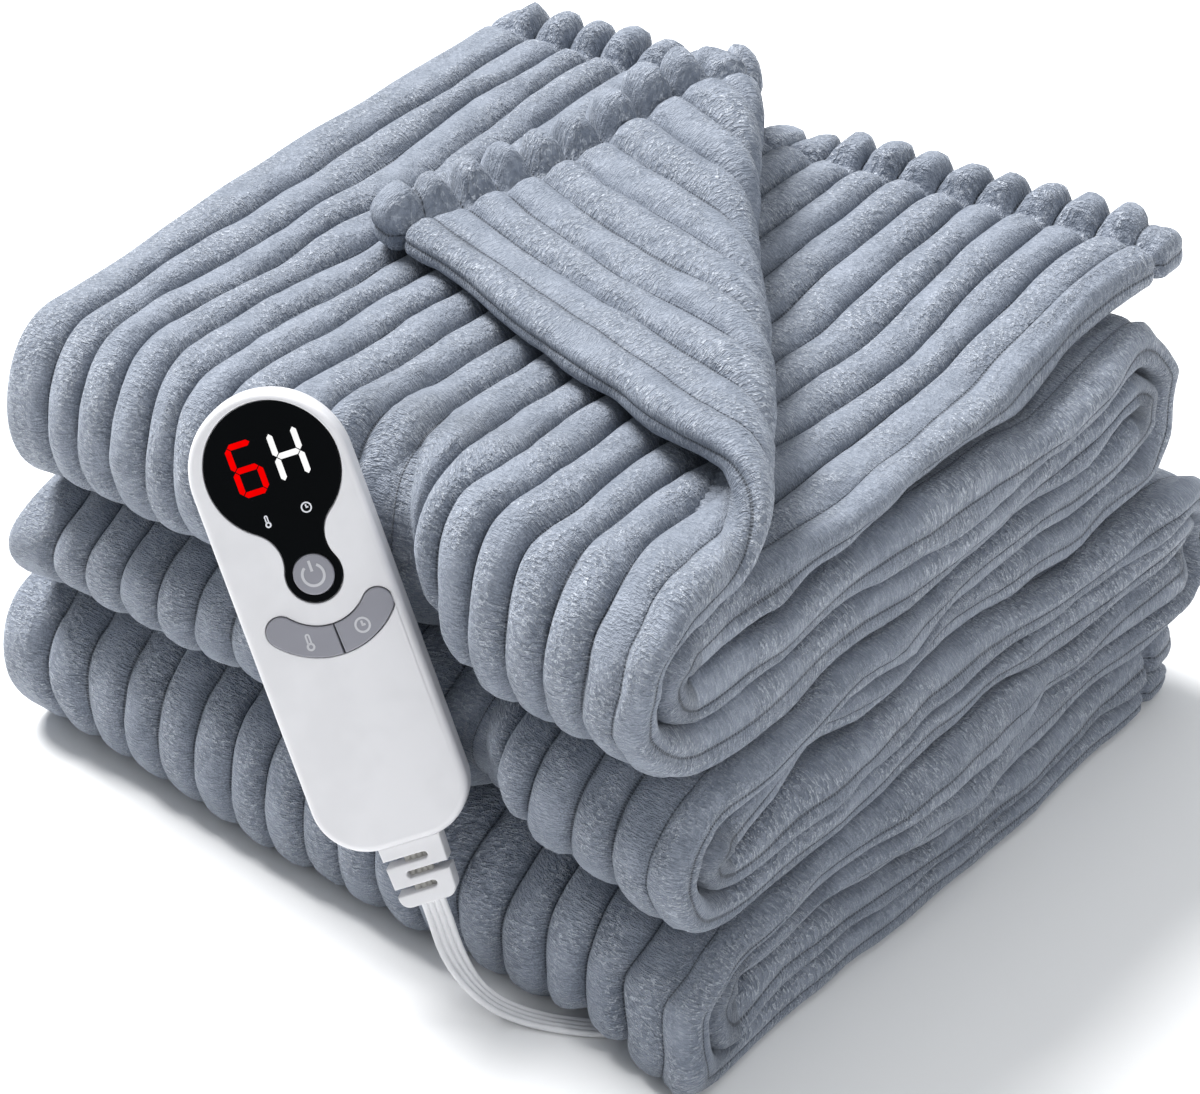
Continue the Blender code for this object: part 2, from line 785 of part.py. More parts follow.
def strain_relief(parts, cutters, frame, look):
    """The slotted block that the cord leaves through."""
    mesh = bmesh.new()
    bmesh.ops.create_cube(mesh, size=1)
    bmesh.ops.scale(mesh, verts=mesh.verts, vec=RELIEF_SIZE)
    uprights = [
        edge for edge in mesh.edges if abs(edge.verts[0].co.z - edge.verts[1].co.z) > 1e-6
    ]
    low = [edge for edge in uprights if edge.verts[0].co.y < 0]
    rounded(mesh, low, 0.0035, 4)
    place_at = relief_frame(frame)
    relief = mesh_object("strain_relief", mesh, parts, look, place_at)
    for row, side in enumerate((-1, 1, -1)):
        slot = bmesh.new()
        bmesh.ops.create_cube(slot, size=1)
        bmesh.ops.scale(slot, verts=slot.verts, vec=SLOT_SIZE)
        at = (side * (RELIEF_SIZE.x - SLOT_SIZE.x + 0.001) / 2, SLOT_PITCH * (1 - row), 0)
        bmesh.ops.translate(slot, verts=slot.verts, vec=at)
        cut(relief, cutter_object(f"cut_slot_{row}", slot, place_at), cutters)
    return relief


def smooth_route(points):
    """A Catmull-Rom curve through the route's points, a point every few millimetres."""
    route = []
    ends = [points[0] * 2 - points[1]] + points + [points[-1] * 2 - points[-2]]
    for a, b, c, d in zip(ends, ends[1:], ends[2:], ends[3:]):
        steps = max(1, round((c - b).length / CORD_STEP))
        for step in range(steps):
            t = step / steps
            route.append(
                0.5
                * (
                    2 * b
                    + (c - a) * t
                    + (2 * a - 5 * b + 4 * c - d) * t**2
                    + (3 * b - a - 3 * c + d) * t**3
                )
            )
    return route + [points[-1]]


def cord(parts, frame, look):
    start = relief_frame(frame) @ Vector((0, -RELIEF_SIZE.y / 2 - FIT, 0))
    down = -frame.to_3x3().col[1]
    points = [start, start + down * 0.008] + [Vector(row) for row in CORD_ROUTE]
    route = smooth_route(points)
    curve = bpy.data.curves.new("cord", "CURVE")
    curve.dimensions = "3D"
    curve.bevel_depth = CORD_WIDTH / 2
    curve.bevel_resolution = 3
    curve.use_fill_caps = True
    line = curve.splines.new("POLY")
    line.points.add(len(route) - 1)
    for point, spot in zip(line.points, route):
        point.co = (*spot, 1)
    curve.materials.append(look)
    made = bpy.data.objects.new("cord", curve)
    parts.objects.link(made)
    return made


def main():
    clear_scene()
    parts = collection("heated_throw")
    cutters = collection("cutters")
    white = material("white_plastic", WHITE, 0.35)
    grey = material("grey_key", GREY, 0.5)
    black = material("black_gloss", GRAPHITE, 0.08)
    frame = controller_frame()
    blanket(parts, material("ribbed_plush", PLUSH, 0.95))
    controller_shell(parts, cutters, frame, white)
    display_panel(parts, cutters, frame, black)
    power_key(parts, frame, grey)
    end, split = math.degrees(KEY_END), math.degrees(KEY_SPLIT)
    gap = math.degrees(FIT / KEY_RADIUS)
    curved_key(
        "left_key", -90 - end, -90 + split - gap, True, False, parts, frame, grey
    )
    curved_key(
        "right_key", -90 + split + gap, -90 + end, False, True, parts, frame, grey
    )
    strain_relief(parts, cutters, frame, white)
    cord(parts, frame, material("white_cord", WHITE, 0.45))


main()
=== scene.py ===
"""Looks of the folded electric throw and its hand controller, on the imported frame.

The cloth is one closed sheet, pleated and folded as its solid is, with round ribs, sunk seams
and settled unevenness. The controller's pieces are rebuilt with soft edges and finer detail in
place of their solids. Frame: metres, +Z up, ribs along Y, fold lines along X, front bulges to -Y.
"""

import math
from collections import namedtuple

import bmesh
import bpy
import numpy as np
from mathutils import Matrix, Vector

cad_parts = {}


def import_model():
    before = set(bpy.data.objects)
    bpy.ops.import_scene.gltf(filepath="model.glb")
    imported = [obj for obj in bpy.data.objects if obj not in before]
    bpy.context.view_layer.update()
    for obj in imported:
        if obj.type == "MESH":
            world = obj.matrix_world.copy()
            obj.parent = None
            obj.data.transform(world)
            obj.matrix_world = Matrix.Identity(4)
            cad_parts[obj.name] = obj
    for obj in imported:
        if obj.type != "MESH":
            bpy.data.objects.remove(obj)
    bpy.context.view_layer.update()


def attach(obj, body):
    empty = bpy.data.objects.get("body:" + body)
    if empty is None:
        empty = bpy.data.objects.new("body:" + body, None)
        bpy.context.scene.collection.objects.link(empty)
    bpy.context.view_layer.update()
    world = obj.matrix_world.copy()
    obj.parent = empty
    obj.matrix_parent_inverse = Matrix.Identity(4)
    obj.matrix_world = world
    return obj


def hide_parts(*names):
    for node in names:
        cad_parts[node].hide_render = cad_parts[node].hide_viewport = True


MM = 0.001

# --- sizes of the folded throw

RIB_PITCH = 0.017
RIBS = 18
WIDTH = RIBS * RIB_PITCH
DEPTH = 0.277
RIB_DEPTH = 0.0050
PAIR_HALF = 0.0070  # from the middle of a pair of plies to the crest of its ribs
PLY_SLOT = 0.0007  # between a pair's two plies
PAIR_SLOT = 0.00075  # between an arm's two pairs
ARM_SLOT = 0.0022  # between two arms
PAIR_MID = PAIR_HALF + PAIR_SLOT / 2
ARM_HALF = PAIR_MID + PAIR_HALF
ARM_PITCH = 2 * ARM_HALF + ARM_SLOT
ARMS = 6
EDGE_SEAM = 0.013  # from a closed edge to the first seam
TURN = ARM_PITCH / 2
OUTER_TURN = TURN + ARM_HALF

# The hem at the bottom, the five folds and the hem at the top
Fold = namedtuple("Fold", "reach_left reach_right shift widen")
FOLDS = (
    Fold(0.002, 0.008, 0.000, 1.05),
    Fold(0.006, 0.014, 0.002, 1.075),
    Fold(0.006, 0.026, 0.001, 1.04),
    Fold(0.002, 0.019, 0.002, 1.03),
    Fold(0.000, 0.003, -0.001, 1.01),
    Fold(0.003, 0.027, -0.001, 1.00),
    Fold(0.006, 0.003, -0.007, 0.96),
)
LOWER_PAIR_REACH = 0.021  # the topmost arm's lower hem reaches this much further back at +X

Sag = namedtuple("Sag", "height left right")
SAGS = (Sag(2 * ARM_PITCH, 0.002, -0.004), Sag(4 * ARM_PITCH, -0.012, -0.011))
SAG_FADE = (0.060, 0.180)
DROOP = 0.016
DROOP_FROM = 0.030
DROOP_OVER = 0.183
DROOP_CURVE = 2.2
DROOP_FADE = (0.050, 0.190)
LIFT_LEFT = 0.005
LIFT_RIGHT = 0.015
LIFT_FADE = (0.030, 0.100)
SPREAD_LEFT = 0.002
SPREAD_RIGHT = 0.021
SPREAD_HEIGHT = 0.045
SPREAD_FROM = (0.080, 0.045)
SWAY = 0.0014
SWAY_ALONG = 0.190
SWAY_ACROSS = 0.215
SWAY_UP = 0.140

# The turned-back corner: the line that it rolls over, and how it comes to rest
FOLD_NORMAL = math.radians(37.9)
FOLD_PLACE = 0.0412
ROLL_RADIUS = 0.0100
FLAP_REST = 0.0008
FLAP_SETTLE = 0.066

# --- sizes of the controller: X across, Y towards its display end, Z out of its face

BODY_LENGTH = 0.157
BODY_WIDTH = 0.0537
BODY_THICK = 0.017
FACE = BODY_THICK / 2
FRONT_ROUND = 0.0024
BACK_ROUND = 0.0090
LOWER_CORNER = 0.0185
CONTROLLER_AT = Vector((0.0143, -0.1565, 0.1271))
CONTROLLER_YAW = math.radians(32)
CONTROLLER_TILT = math.radians(18)
CONTROLLER_ROLL = math.radians(21.4)
FIT = 0.0003

DISPLAY_AT = Vector((0.0014, 0.0529))
DISPLAY_RADIUS = 0.0224
POWER_AT = Vector((0.0024, 0.0162))
POWER_RIM = 0.0094
PANEL_NECK = 0.0120  # radius of the hollows between the panel's two circles
PANEL_THICK = 0.0012
POWER_RADIUS = 0.0068
KEY_RADIUS = 0.0226  # middle of the two curved keys, about the power key
KEY_HALF = 0.0051
KEY_END = 48.0  # degrees from straight down to the middle of a key's round end
KEY_SPLIT = 1.6
KEY_PROUD = 0.0007
KEY_THICK = 0.0034
KEY_TRAVEL = 0.0010
WELL_DEPTH = KEY_THICK - KEY_PROUD + KEY_TRAVEL + FIT

RELIEF_SIZE = Vector((0.0205, 0.0220, 0.0086))
RELIEF_OUT = 0.0005
SLOT_SIZE = Vector((0.0152, 0.0024, 0.0120))
SLOT_PITCH = 0.0051

# How the front bulges take the controller: hollowed or swollen to its back
SEAT_GAP = 0.0010
SEAT_HOLLOW = 0.026
SEAT_SWELL = 0.004
SEAT_MARGIN = 0.006
SEAT_WIDEN = 0.8
SEAT_FADE = 0.034
SEAT_DEPTH = 0.075

CORD_WIDTH = 0.0084
CORD_ROUTE = (
    (0.0686, -0.1633, 0.0242),
    (0.0728, -0.1636, 0.0183),
    (0.0780, -0.1628, 0.0131),
    (0.0844, -0.1607, 0.0088),
    (0.0920, -0.1576, 0.0060),
    (0.1010, -0.1538, 0.0047),
    (0.1098, -0.1496, 0.0045),
    (0.1166, -0.1457, 0.0045),
    (0.1225, -0.1413, 0.0045),
)
ENTRY_AT = (0.1200, -0.1450, 0.0020)
ENTRY_HOLLOW = 0.0150
ENTRY_SPREAD = (0.0170, 0.0170, 0.0060)

# The lead is four round cores side by side, flat on the ground where it reaches it
CORE_RADIUS = 0.00112
CORD_STEP = 0.0034
CORD_START = 0.008  # it leaves the strain relief straight for this long

# --- the look of the cloth

RIB_SHARPNESS = 3.0  # how abruptly a rib falls to its seams
RIB_COLUMNS = (-0.92, -0.70, -0.36, 0.0, 0.36, 0.70, 0.92)
TURN_STEP = 0.0036  # along the outside of a turn
TOP_STEP = 0.0036  # along the uppermost arm
INNER_STEP = 0.008  # along arms that show only at their sides
BURIED = 0.034  # the faces between the pairs are plain this far behind the turned-back corner
FIRST_SEAM = 0.32  # the seam beside a closed edge is only this deep, so its ribs lie flatter
EDGE_DENT = 0.30  # how far the seam along a closed edge sinks, as a share of a rib's depth
WANDER = 0.0024  # how far the ribs stray sideways
SEAM_WANDER = 0.0014

# Rows of points along a hem, in millimetres from its end
HEM_INSETS = (0, 0.4, 1.2, 2.6, 4.6, 7.2, 10, 13, 15.6, 17.6, 19.2, 20.5, 21.8, 23.2, 25, 28)
HEM_SEAM = 0.0205  # from a hem's end to its seam
HEM_SCALLOP = 0.0072  # its end is drawn in by this at each rib's seam
HEM_SWELL = 0.0056  # it stands this much prouder than the ribs, where it lies free
TURNED_SWELL = 1.45  # times this on the face that the turned-back corner shows
BARED_SWELL = 1.0  # this on the face that it lays bare
RESTING_SWELL = 0.25  # and this on the one that it rests on
HEM_CORE = 0.0003  # its two plies close to this from their middle
HEM_RECESS = 0.0080  # their plain sides end this far inside
HEM_ROWS = 0.0285  # just past its last row
HEM_RIBS = (0.0245, 0.007)  # the bottom hem has ribs to here, and they fade over this
HEM_ROLL = (0.0105, 0.0085)  # the middle and the half length of the roll that stands prouder
TURNED_FROM = (0.035, 0.020)  # the corner counts as turned back from here, over this
NO_HEM = 0.070

# Fine unevenness of the cloth: waves of three sizes
Swell = namedtuple("Swell", "height across along")
SWELLS = (
    Swell(0.0012, 0.034, 0.046),
    Swell(0.0009, 0.014, 0.021),
    Swell(0.00034, 0.0050, 0.0070),
)

# The layers' closed edges at +X are crumpled: they crowd, part and stand out unevenly
CRUMPLE_FROM = 0.104
CRUMPLE_FULL = 0.140
CRUMPLE_RISE = 0.0062
CRUMPLE_OUT = 0.0040
CRUMPLE_TOP = (0.150, 0.178)


def smoothstep(x):
    x = np.clip(x, 0.0, 1.0)
    return x * x * (3 - 2 * x)


def mix(a, b, share):
    return a + (b - a) * share


def fade(span, x):
    """1 down to 0 as x comes near the first length of a span, over the second."""
    return smoothstep((span[0] - x) / span[1])


def toward(degrees):
    turn = math.radians(degrees)
    return math.cos(turn), math.sin(turn)


def value_noise(x, y, seed):
    """Smooth noise in -1..1 over a plane, the same each run."""

    def lattice(i, j):
        n = (i * 374761393 + j * 668265263 + seed * 2147483647) & 0xFFFFFFFF
        n = ((n ^ (n >> 13)) * 1274126177) & 0xFFFFFFFF
        return ((n ^ (n >> 16)) & 0xFFFF) / 32767.5 - 1

    i, j = np.floor(x).astype(np.int64), np.floor(y).astype(np.int64)
    a, b = smoothstep(x - i), smoothstep(y - j)
    near = mix(lattice(i, j), lattice(i + 1, j), a)
    far = mix(lattice(i, j + 1), lattice(i + 1, j + 1), a)
    return mix(near, far, b)


# --- the section across X

# A point of it stands out from (u, w) along (du, dw) by rise. Its knots are in every station.
Column = namedtuple("Column", "u w du dw rise dent zone knot rib")
ZONES = ("over", "under", "upper", "lower", "edge", "plain")
EDGE_DEGREES = (6, 13, 22, 33, 46, 60, 75, 90)


def in_zone(zone, *names):
    return np.isin(zone, [ZONES.index(name) for name in names])


def rib_dent(share):
    """0 on a rib's crest, 1 in its seams."""
    return abs(share) ** RIB_SHARPNESS


def rib_run(pair, side, zone):
    """A pair's ribbed face from the +X edge to the -X one."""
    made = []
    middle = pair * PAIR_MID

    def add(u, dent, knot, rib):
        made.append(Column(u, middle, 0, side, PAIR_HALF, dent, zone, knot, rib * side))

    first = WIDTH / 2 - EDGE_SEAM
    edge = WIDTH / 2 - PAIR_HALF
    for share in (0.36, 0.70, 0.92):
        add(mix(edge, first, share), rib_dent(share) * FIRST_SEAM, False, 0.5 + share / 2)
    for rib in range(RIBS - 1):
        valley = first - rib * RIB_PITCH
        add(valley, 1.0 if rib else FIRST_SEAM, rib % 2 == 0, 1 + rib)
        for share in RIB_COLUMNS if rib < RIBS - 2 else RIB_COLUMNS[:4]:
            u = valley - RIB_PITCH / 2 * (1 + share)
            depth = FIRST_SEAM if rib == 0 and share < 0 else 1.0
            add(u, rib_dent(share) * depth, False, 1.5 + rib + share / 2)
    return made


def plain(u, w, du, dw, rise, rib=0.5):
    return Column(u, w, du, dw, rise, 0.0, "plain", True, rib)


def plain_run(pair, side):
    first = WIDTH / 2 - EDGE_SEAM
    return [
        plain(first - rib * RIB_PITCH, pair * PAIR_MID, 0, side, PLY_SLOT / 2, 1 + rib)
        for rib in range(2, RIBS - 1, 2)
    ]


def closed_edge(pair):
    """The round +X edge of a pair, from below to above, with its seam along the middle."""
    made = []
    at = (WIDTH / 2 - PAIR_HALF, pair * PAIR_MID)
    for degrees in (*(-value for value in EDGE_DEGREES[::-1]), 0, *EDGE_DEGREES):
        dent = EDGE_DENT * max(0.0, 1 - abs(degrees) / 40) ** 1.6
        out = toward(degrees)
        made.append(Column(*at, *out, PAIR_HALF, dent, "edge", True, degrees / 180))
    return made


def cut_edge(pair, side):
    """The rounded -X edge of an outer ply, from its ribbed face to its plain one."""
    made = []
    middle, half, round_off = 0.0036, 0.00335, 0.0056
    for degrees in (90, 112, 134, 157, 180, 203, 226, 248):
        across, up = toward(degrees)
        u = round_off - WIDTH / 2 + round_off * across
        rib = (17.48 + degrees / 214) * side
        made.append(plain(u, pair * PAIR_MID, 0, side, middle + half * up, rib))
    return made


def inner_fold():
    """The -X fold that joins the two pairs, from above to below."""
    at = (PAIR_HALF - WIDTH / 2, 0)
    return [
        plain(*at, *toward(degrees), PAIR_MID - PLY_SLOT / 2, 0.5 + (degrees - 90) / 180)
        for degrees in range(90, 271, 20)
    ]


def section():
    """The closed outline in four parts: the upper pair's outside and inside, then the lower's."""
    inner_end = WIDTH / 2 - PAIR_HALF
    fold = inner_fold()
    above = [point for point in fold if point.dw > -0.01]

    def inside(pair):
        ends = [plain(inner_end, pair * PAIR_MID, 0, side, PLY_SLOT / 2) for side in (1, -1)]
        return plain_run(pair, 1)[::-1] + ends + plain_run(pair, -1)

    upper_out = [plain(-inner_end, 0, 0, 1, PAIR_SLOT / 2)] + rib_run(1, -1, "upper")[::-1]
    upper_out += closed_edge(1) + rib_run(1, 1, "over") + cut_edge(1, 1)
    lower_out = cut_edge(-1, -1)[::-1] + rib_run(-1, -1, "under")[::-1]
    lower_out += closed_edge(-1) + rib_run(-1, 1, "lower")
    lower_out.append(plain(-inner_end, 0, 0, -1, PAIR_SLOT / 2))
    return upper_out, inside(1) + above, fold[len(above) :] + inside(-1), lower_out


def zipped(first, second):
    """Triangles between two chains of (point, place along it) that run side by side."""
    made = []
    i = j = 0
    while i < len(first) - 1 or j < len(second) - 1:
        ended = j == len(second) - 1
        if ended or (i < len(first) - 1 and first[i + 1][1] <= second[j + 1][1]):
            made.append((first[i][0], first[i + 1][0], second[j][0]))
            i += 1
        else:
            made.append((first[i][0], second[j + 1][0], second[j][0]))
            j += 1
    return made


def end_faces(parts, ring):
    """The sheet's end as two bands, each between the outside and the inside of a pair."""
    starts = np.cumsum([0] + [len(part) for part in parts])
    columns = [column for part in parts for column in part]

    def chain(numbers):
        kept = [n for n in numbers if ring[n] >= 0]
        reach = [abs(columns[b].u - columns[a].u) for a, b in zip(kept, kept[1:])]
        places = np.cumsum([0.0] + reach)
        return [(int(ring[n]), place / places[-1]) for n, place in zip(kept, places)]

    spans = [list(range(a, b)) for a, b in zip(starts, starts[1:])]
    upper_out, upper_in, lower_in, lower_out = spans
    above = zipped(chain(upper_out), chain(upper_in[::-1]))
    outer, inner = upper_out[:1] + lower_out[::-1], upper_in[-1:] + lower_in
    return above + zipped(chain(outer), chain(inner))


# --- the back-and-forth path

# A place along it, its heading, and how high the ribs of each zone stand there
Station = namedtuple(
    "Station", "left right z ty tz arm fullness shift widen over under between hem along"
)


def arm_height(arm):
    return ARM_HALF + arm * ARM_PITCH


def hem_fullness(inset):
    """A hem is a plump roll behind its seam."""
    round_end = math.sqrt(max(0.0, 1 - (1 - min(1.0, inset / 0.0090)) ** 2))
    groove = math.exp(-(((inset - HEM_SEAM) / 0.0021) ** 2))
    return round_end * (1 - 0.80 * groove)


def hem_stations(fold, arm, heading):
    row = FOLDS[fold]
    top = 1.0 if fold == ARMS else 0.0
    made = []
    for inset in (value * MM for value in HEM_INSETS):
        end = DEPTH / 2 - inset
        low = (1.0 - top) * float(fade(HEM_RIBS, inset))
        ribs = {"over": top + low, "under": low, "between": top}
        made.append(
            Station(
                left=end + row.reach_left, right=end + row.reach_right, z=arm_height(arm),
                ty=heading, tz=0, arm=arm, fullness=hem_fullness(inset),
                shift=row.shift, widen=row.widen, **ribs, hem=inset, along=0.0,
            )
        )
    return made


def turn_stations(fold):
    row = FOLDS[fold]
    front = fold % 2 == 1
    topmost = fold == ARMS - 1
    side = -1 if front else 1
    steps = round(math.pi * OUTER_TURN / TURN_STEP)
    middle = (arm_height(fold - 1) + arm_height(fold)) / 2
    made = []
    for step in range(steps + 1):
        turn = math.pi * step / steps
        inward = DEPTH / 2 - OUTER_TURN + TURN * math.sin(turn)
        height = float(smoothstep(math.sin(turn) / 0.5))
        if step in (0, steps):
            height = 0.0
        if topmost and turn > math.pi / 2:
            height = 1.0
        if fold == 1 and turn < math.pi / 2:
            height = max(0.02, height)
        arm = fold - 1 + step / steps
        ribs = {
            "over": height if front else 0.0,
            "under": 0.0 if front else height,
            "between": float(smoothstep((arm - ARMS + 1.4) / 0.4)),
        }
        made.append(
            Station(
                left=side * (inward + row.reach_left), right=side * (inward + row.reach_right),
                z=middle - TURN * math.cos(turn), ty=side * math.cos(turn), tz=math.sin(turn),
                arm=arm, fullness=1.0, shift=row.shift, widen=row.widen,
                **ribs, hem=NO_HEM, along=0.0,
            )
        )
    return made


def straight(first, last, step):
    """The stations between two others."""
    count = max(1, round(abs(last.right - first.right) / step))
    return [
        Station(*(mix(a, b, i / count) for a, b in zip(first, last))) for i in range(1, count)
    ]


def path():
    stations = hem_stations(0, 0, -1)
    for fold in range(1, ARMS):
        turn = turn_stations(fold)
        stations += straight(stations[-1], turn[0], INNER_STEP)
        stations += turn
    top = list(reversed(hem_stations(ARMS, ARMS - 1, 1)))
    stations += straight(stations[-1], top[0], TOP_STEP) + top
    along = 0.0
    made = [stations[0]]
    for before, after in zip(stations, stations[1:]):
        step = math.hypot(after.right - before.right, after.z - before.z)
        if 0 < after.tz or 0 < before.tz:
            step *= OUTER_TURN / TURN
        along += step
        made.append(after._replace(along=along))
    return made


# --- where it all lies


def controller_frame():
    turn = (
        Matrix.Rotation(CONTROLLER_YAW, 4, "Z")
        @ Matrix.Rotation(math.pi / 2 - CONTROLLER_TILT, 4, "X")
        @ Matrix.Rotation(CONTROLLER_ROLL, 4, "Z")
    )
    return Matrix.Translation(CONTROLLER_AT) @ turn


def past_fold(x, y):
    """How far a place is beyond the line that the corner is turned back at."""
    return math.cos(FOLD_NORMAL) * x + math.sin(FOLD_NORMAL) * y - FOLD_PLACE


def rolled(x, y, z, loose):
    """The corner of the uppermost pair, turned back over the arm."""
    past = past_fold(x, y)
    middle = arm_height(ARMS - 1) + PAIR_MID
    off = z - middle
    turn = np.clip(past / ROLL_RADIUS, 0, math.pi)
    shift = (ROLL_RADIUS - off) * np.sin(turn) - past
    height = middle + ROLL_RADIUS * (1 - np.cos(turn)) + off * np.cos(turn)
    beyond = np.maximum(0, past - math.pi * ROLL_RADIUS)
    shift -= beyond
    spare = 2 * (ROLL_RADIUS - PAIR_HALF) - FLAP_REST
    height -= spare * smoothstep(beyond / FLAP_SETTLE)
    moves = loose & (past > 0)
    shift = np.where(moves, shift, 0.0)
    x = x + math.cos(FOLD_NORMAL) * shift
    return x, y + math.sin(FOLD_NORMAL) * shift, np.where(moves, height, z)


def settled(x, y, z):
    """The gaps between the bulges sink or rise towards the front, and the left corner droops."""
    across = x / WIDTH + 0.5
    share = z / (ARMS * ARM_PITCH)
    rise = 0.0
    for sag in SAGS:
        near = np.maximum(0.0, 1 - np.abs(z - sag.height) / (2 * ARM_PITCH))
        rise = rise + mix(sag.left, sag.right, across) * near
    rise = rise * fade(SAG_FADE, y)
    leftward = np.clip((DROOP_FROM - x) / DROOP_OVER, 0.0, 1.0)
    rise = rise - DROOP * leftward**DROOP_CURVE * fade(DROOP_FADE, y) * share
    lift = mix(LIFT_LEFT, LIFT_RIGHT, across)
    rise = rise + lift * smoothstep((y - LIFT_FADE[0]) / LIFT_FADE[1]) * share**3
    foot = np.maximum(0.0, 1 - z / SPREAD_HEIGHT)
    outward = mix(SPREAD_LEFT, SPREAD_RIGHT, across) * foot * foot
    outward = outward * smoothstep((-SPREAD_FROM[0] - y) / SPREAD_FROM[1])
    return x, y - outward, z + rise


def swayed(x, y, z):
    lean = x + SWAY * np.sin(2 * math.pi * (y / SWAY_ALONG + z / SWAY_UP))
    reach = y + SWAY * np.sin(2 * math.pi * (lean / SWAY_ACROSS - z / SWAY_UP))
    return lean, reach, z


def front_crest(x, z):
    across = x / WIDTH + 0.5
    level = np.clip((z / ARM_PITCH - 1) / 2, 0, 2)
    low, middle, high = (mix(f.reach_left, f.reach_right, across) for f in FOLDS[1::2])
    reach = np.where(level < 1, mix(low, middle, level), mix(middle, high, level - 1))
    return -DEPTH / 2 - reach


def seated(x, y, z, frame):
    """The front bulges give way to the controller's back, or swell up to it."""
    turn = np.array(frame.to_3x3())
    at = np.array(frame.translation)
    back = -BODY_THICK / 2 - SEAT_GAP
    spot = np.stack([x, y, z], -1)
    local_z = (spot - at) @ turn[:, 2]
    touch = spot.copy()
    touch[..., 1] += (back - local_z) / turn[1, 2]
    touch = (touch - at) @ turn
    nearest = touch.copy()
    half = np.array([BODY_WIDTH / 2, BODY_LENGTH / 2])
    nearest[..., :2] = np.clip(touch[..., :2], -half, half)
    depth = y - front_crest(x, z)
    away = np.linalg.norm(touch - nearest, axis=-1) - SEAT_MARGIN
    away = away - SEAT_WIDEN * np.maximum(0.0, depth)
    push = nearest @ turn[1] + at[1] - front_crest(x, z)
    push = np.clip(push, -SEAT_SWELL, SEAT_HOLLOW) * (1 - smoothstep(away / SEAT_FADE))
    return x, y + push * (1 - smoothstep(depth / SEAT_DEPTH)), z


def parted(x, y, z):
    """The lowest bulge gives way over the lead, which is flatter than its solid."""
    away = sum(((a - b) / c) ** 2 for a, b, c in zip((x, y, z), ENTRY_AT, ENTRY_SPREAD))
    return x, y + ENTRY_HOLLOW * np.exp(-away), z


def grid_normals(spots):
    """Outward normals of a grid of points that is closed across its columns."""
    across = np.roll(spots, -1, 1) - np.roll(spots, 1, 1)
    along = np.gradient(spots, axis=0)
    normals = np.cross(along, across)
    length = np.linalg.norm(normals, axis=-1, keepdims=True)
    return normals / np.maximum(length, 1e-12)


def crumpled(x, y, z):
    """The closed edges at +X crowd together, part and stand out unevenly."""
    near = smoothstep((x - CRUMPLE_FROM) / (CRUMPLE_FULL - CRUMPLE_FROM))
    near = near * smoothstep(z / 0.022)
    near = near * (1 - smoothstep((z - CRUMPLE_TOP[0]) / (CRUMPLE_TOP[1] - CRUMPLE_TOP[0])))
    rise = CRUMPLE_RISE * value_noise(y / 0.070 + 3.1, z / 0.031, 21)
    rise = rise + 0.3 * CRUMPLE_RISE * value_noise(y / 0.027, z / 0.012 + 0.4, 22)
    out = CRUMPLE_OUT * value_noise(y / 0.052 + 0.7, z / 0.0155 + 0.2, 23)
    out = out + 0.4 * CRUMPLE_OUT * value_noise(y / 0.019, z / 0.0080, 24)
    return x + near * out, y, z + near * rise


def hem_swell(x, y, inset, zone, pair, rib):
    """Where a hem stands prouder: 1 at the middle of a roll that lies free, 0 elsewhere."""
    roll = np.exp(-(((inset - HEM_ROLL[0]) / HEM_ROLL[1]) ** 4))
    turned = smoothstep((past_fold(x, y) - TURNED_FROM[0]) / TURNED_FROM[1])
    bared = BARED_SWELL * smoothstep(np.abs(rib) - 0.5)
    raised = turned * np.where(pair > 0, TURNED_SWELL, bared)
    resting = mix(1.0, RESTING_SWELL, turned)
    below = np.where(pair > 0, raised, 0.0)
    above = np.where(pair > 0, resting, raised)
    edge = mix(below, above, smoothstep(rib + 0.5))
    free = np.where(in_zone(zone, "over"), resting, 0.0)
    free = free + np.where(in_zone(zone, "upper", "lower"), raised, 0.0)
    return roll * np.where(in_zone(zone, "edge"), edge, free)


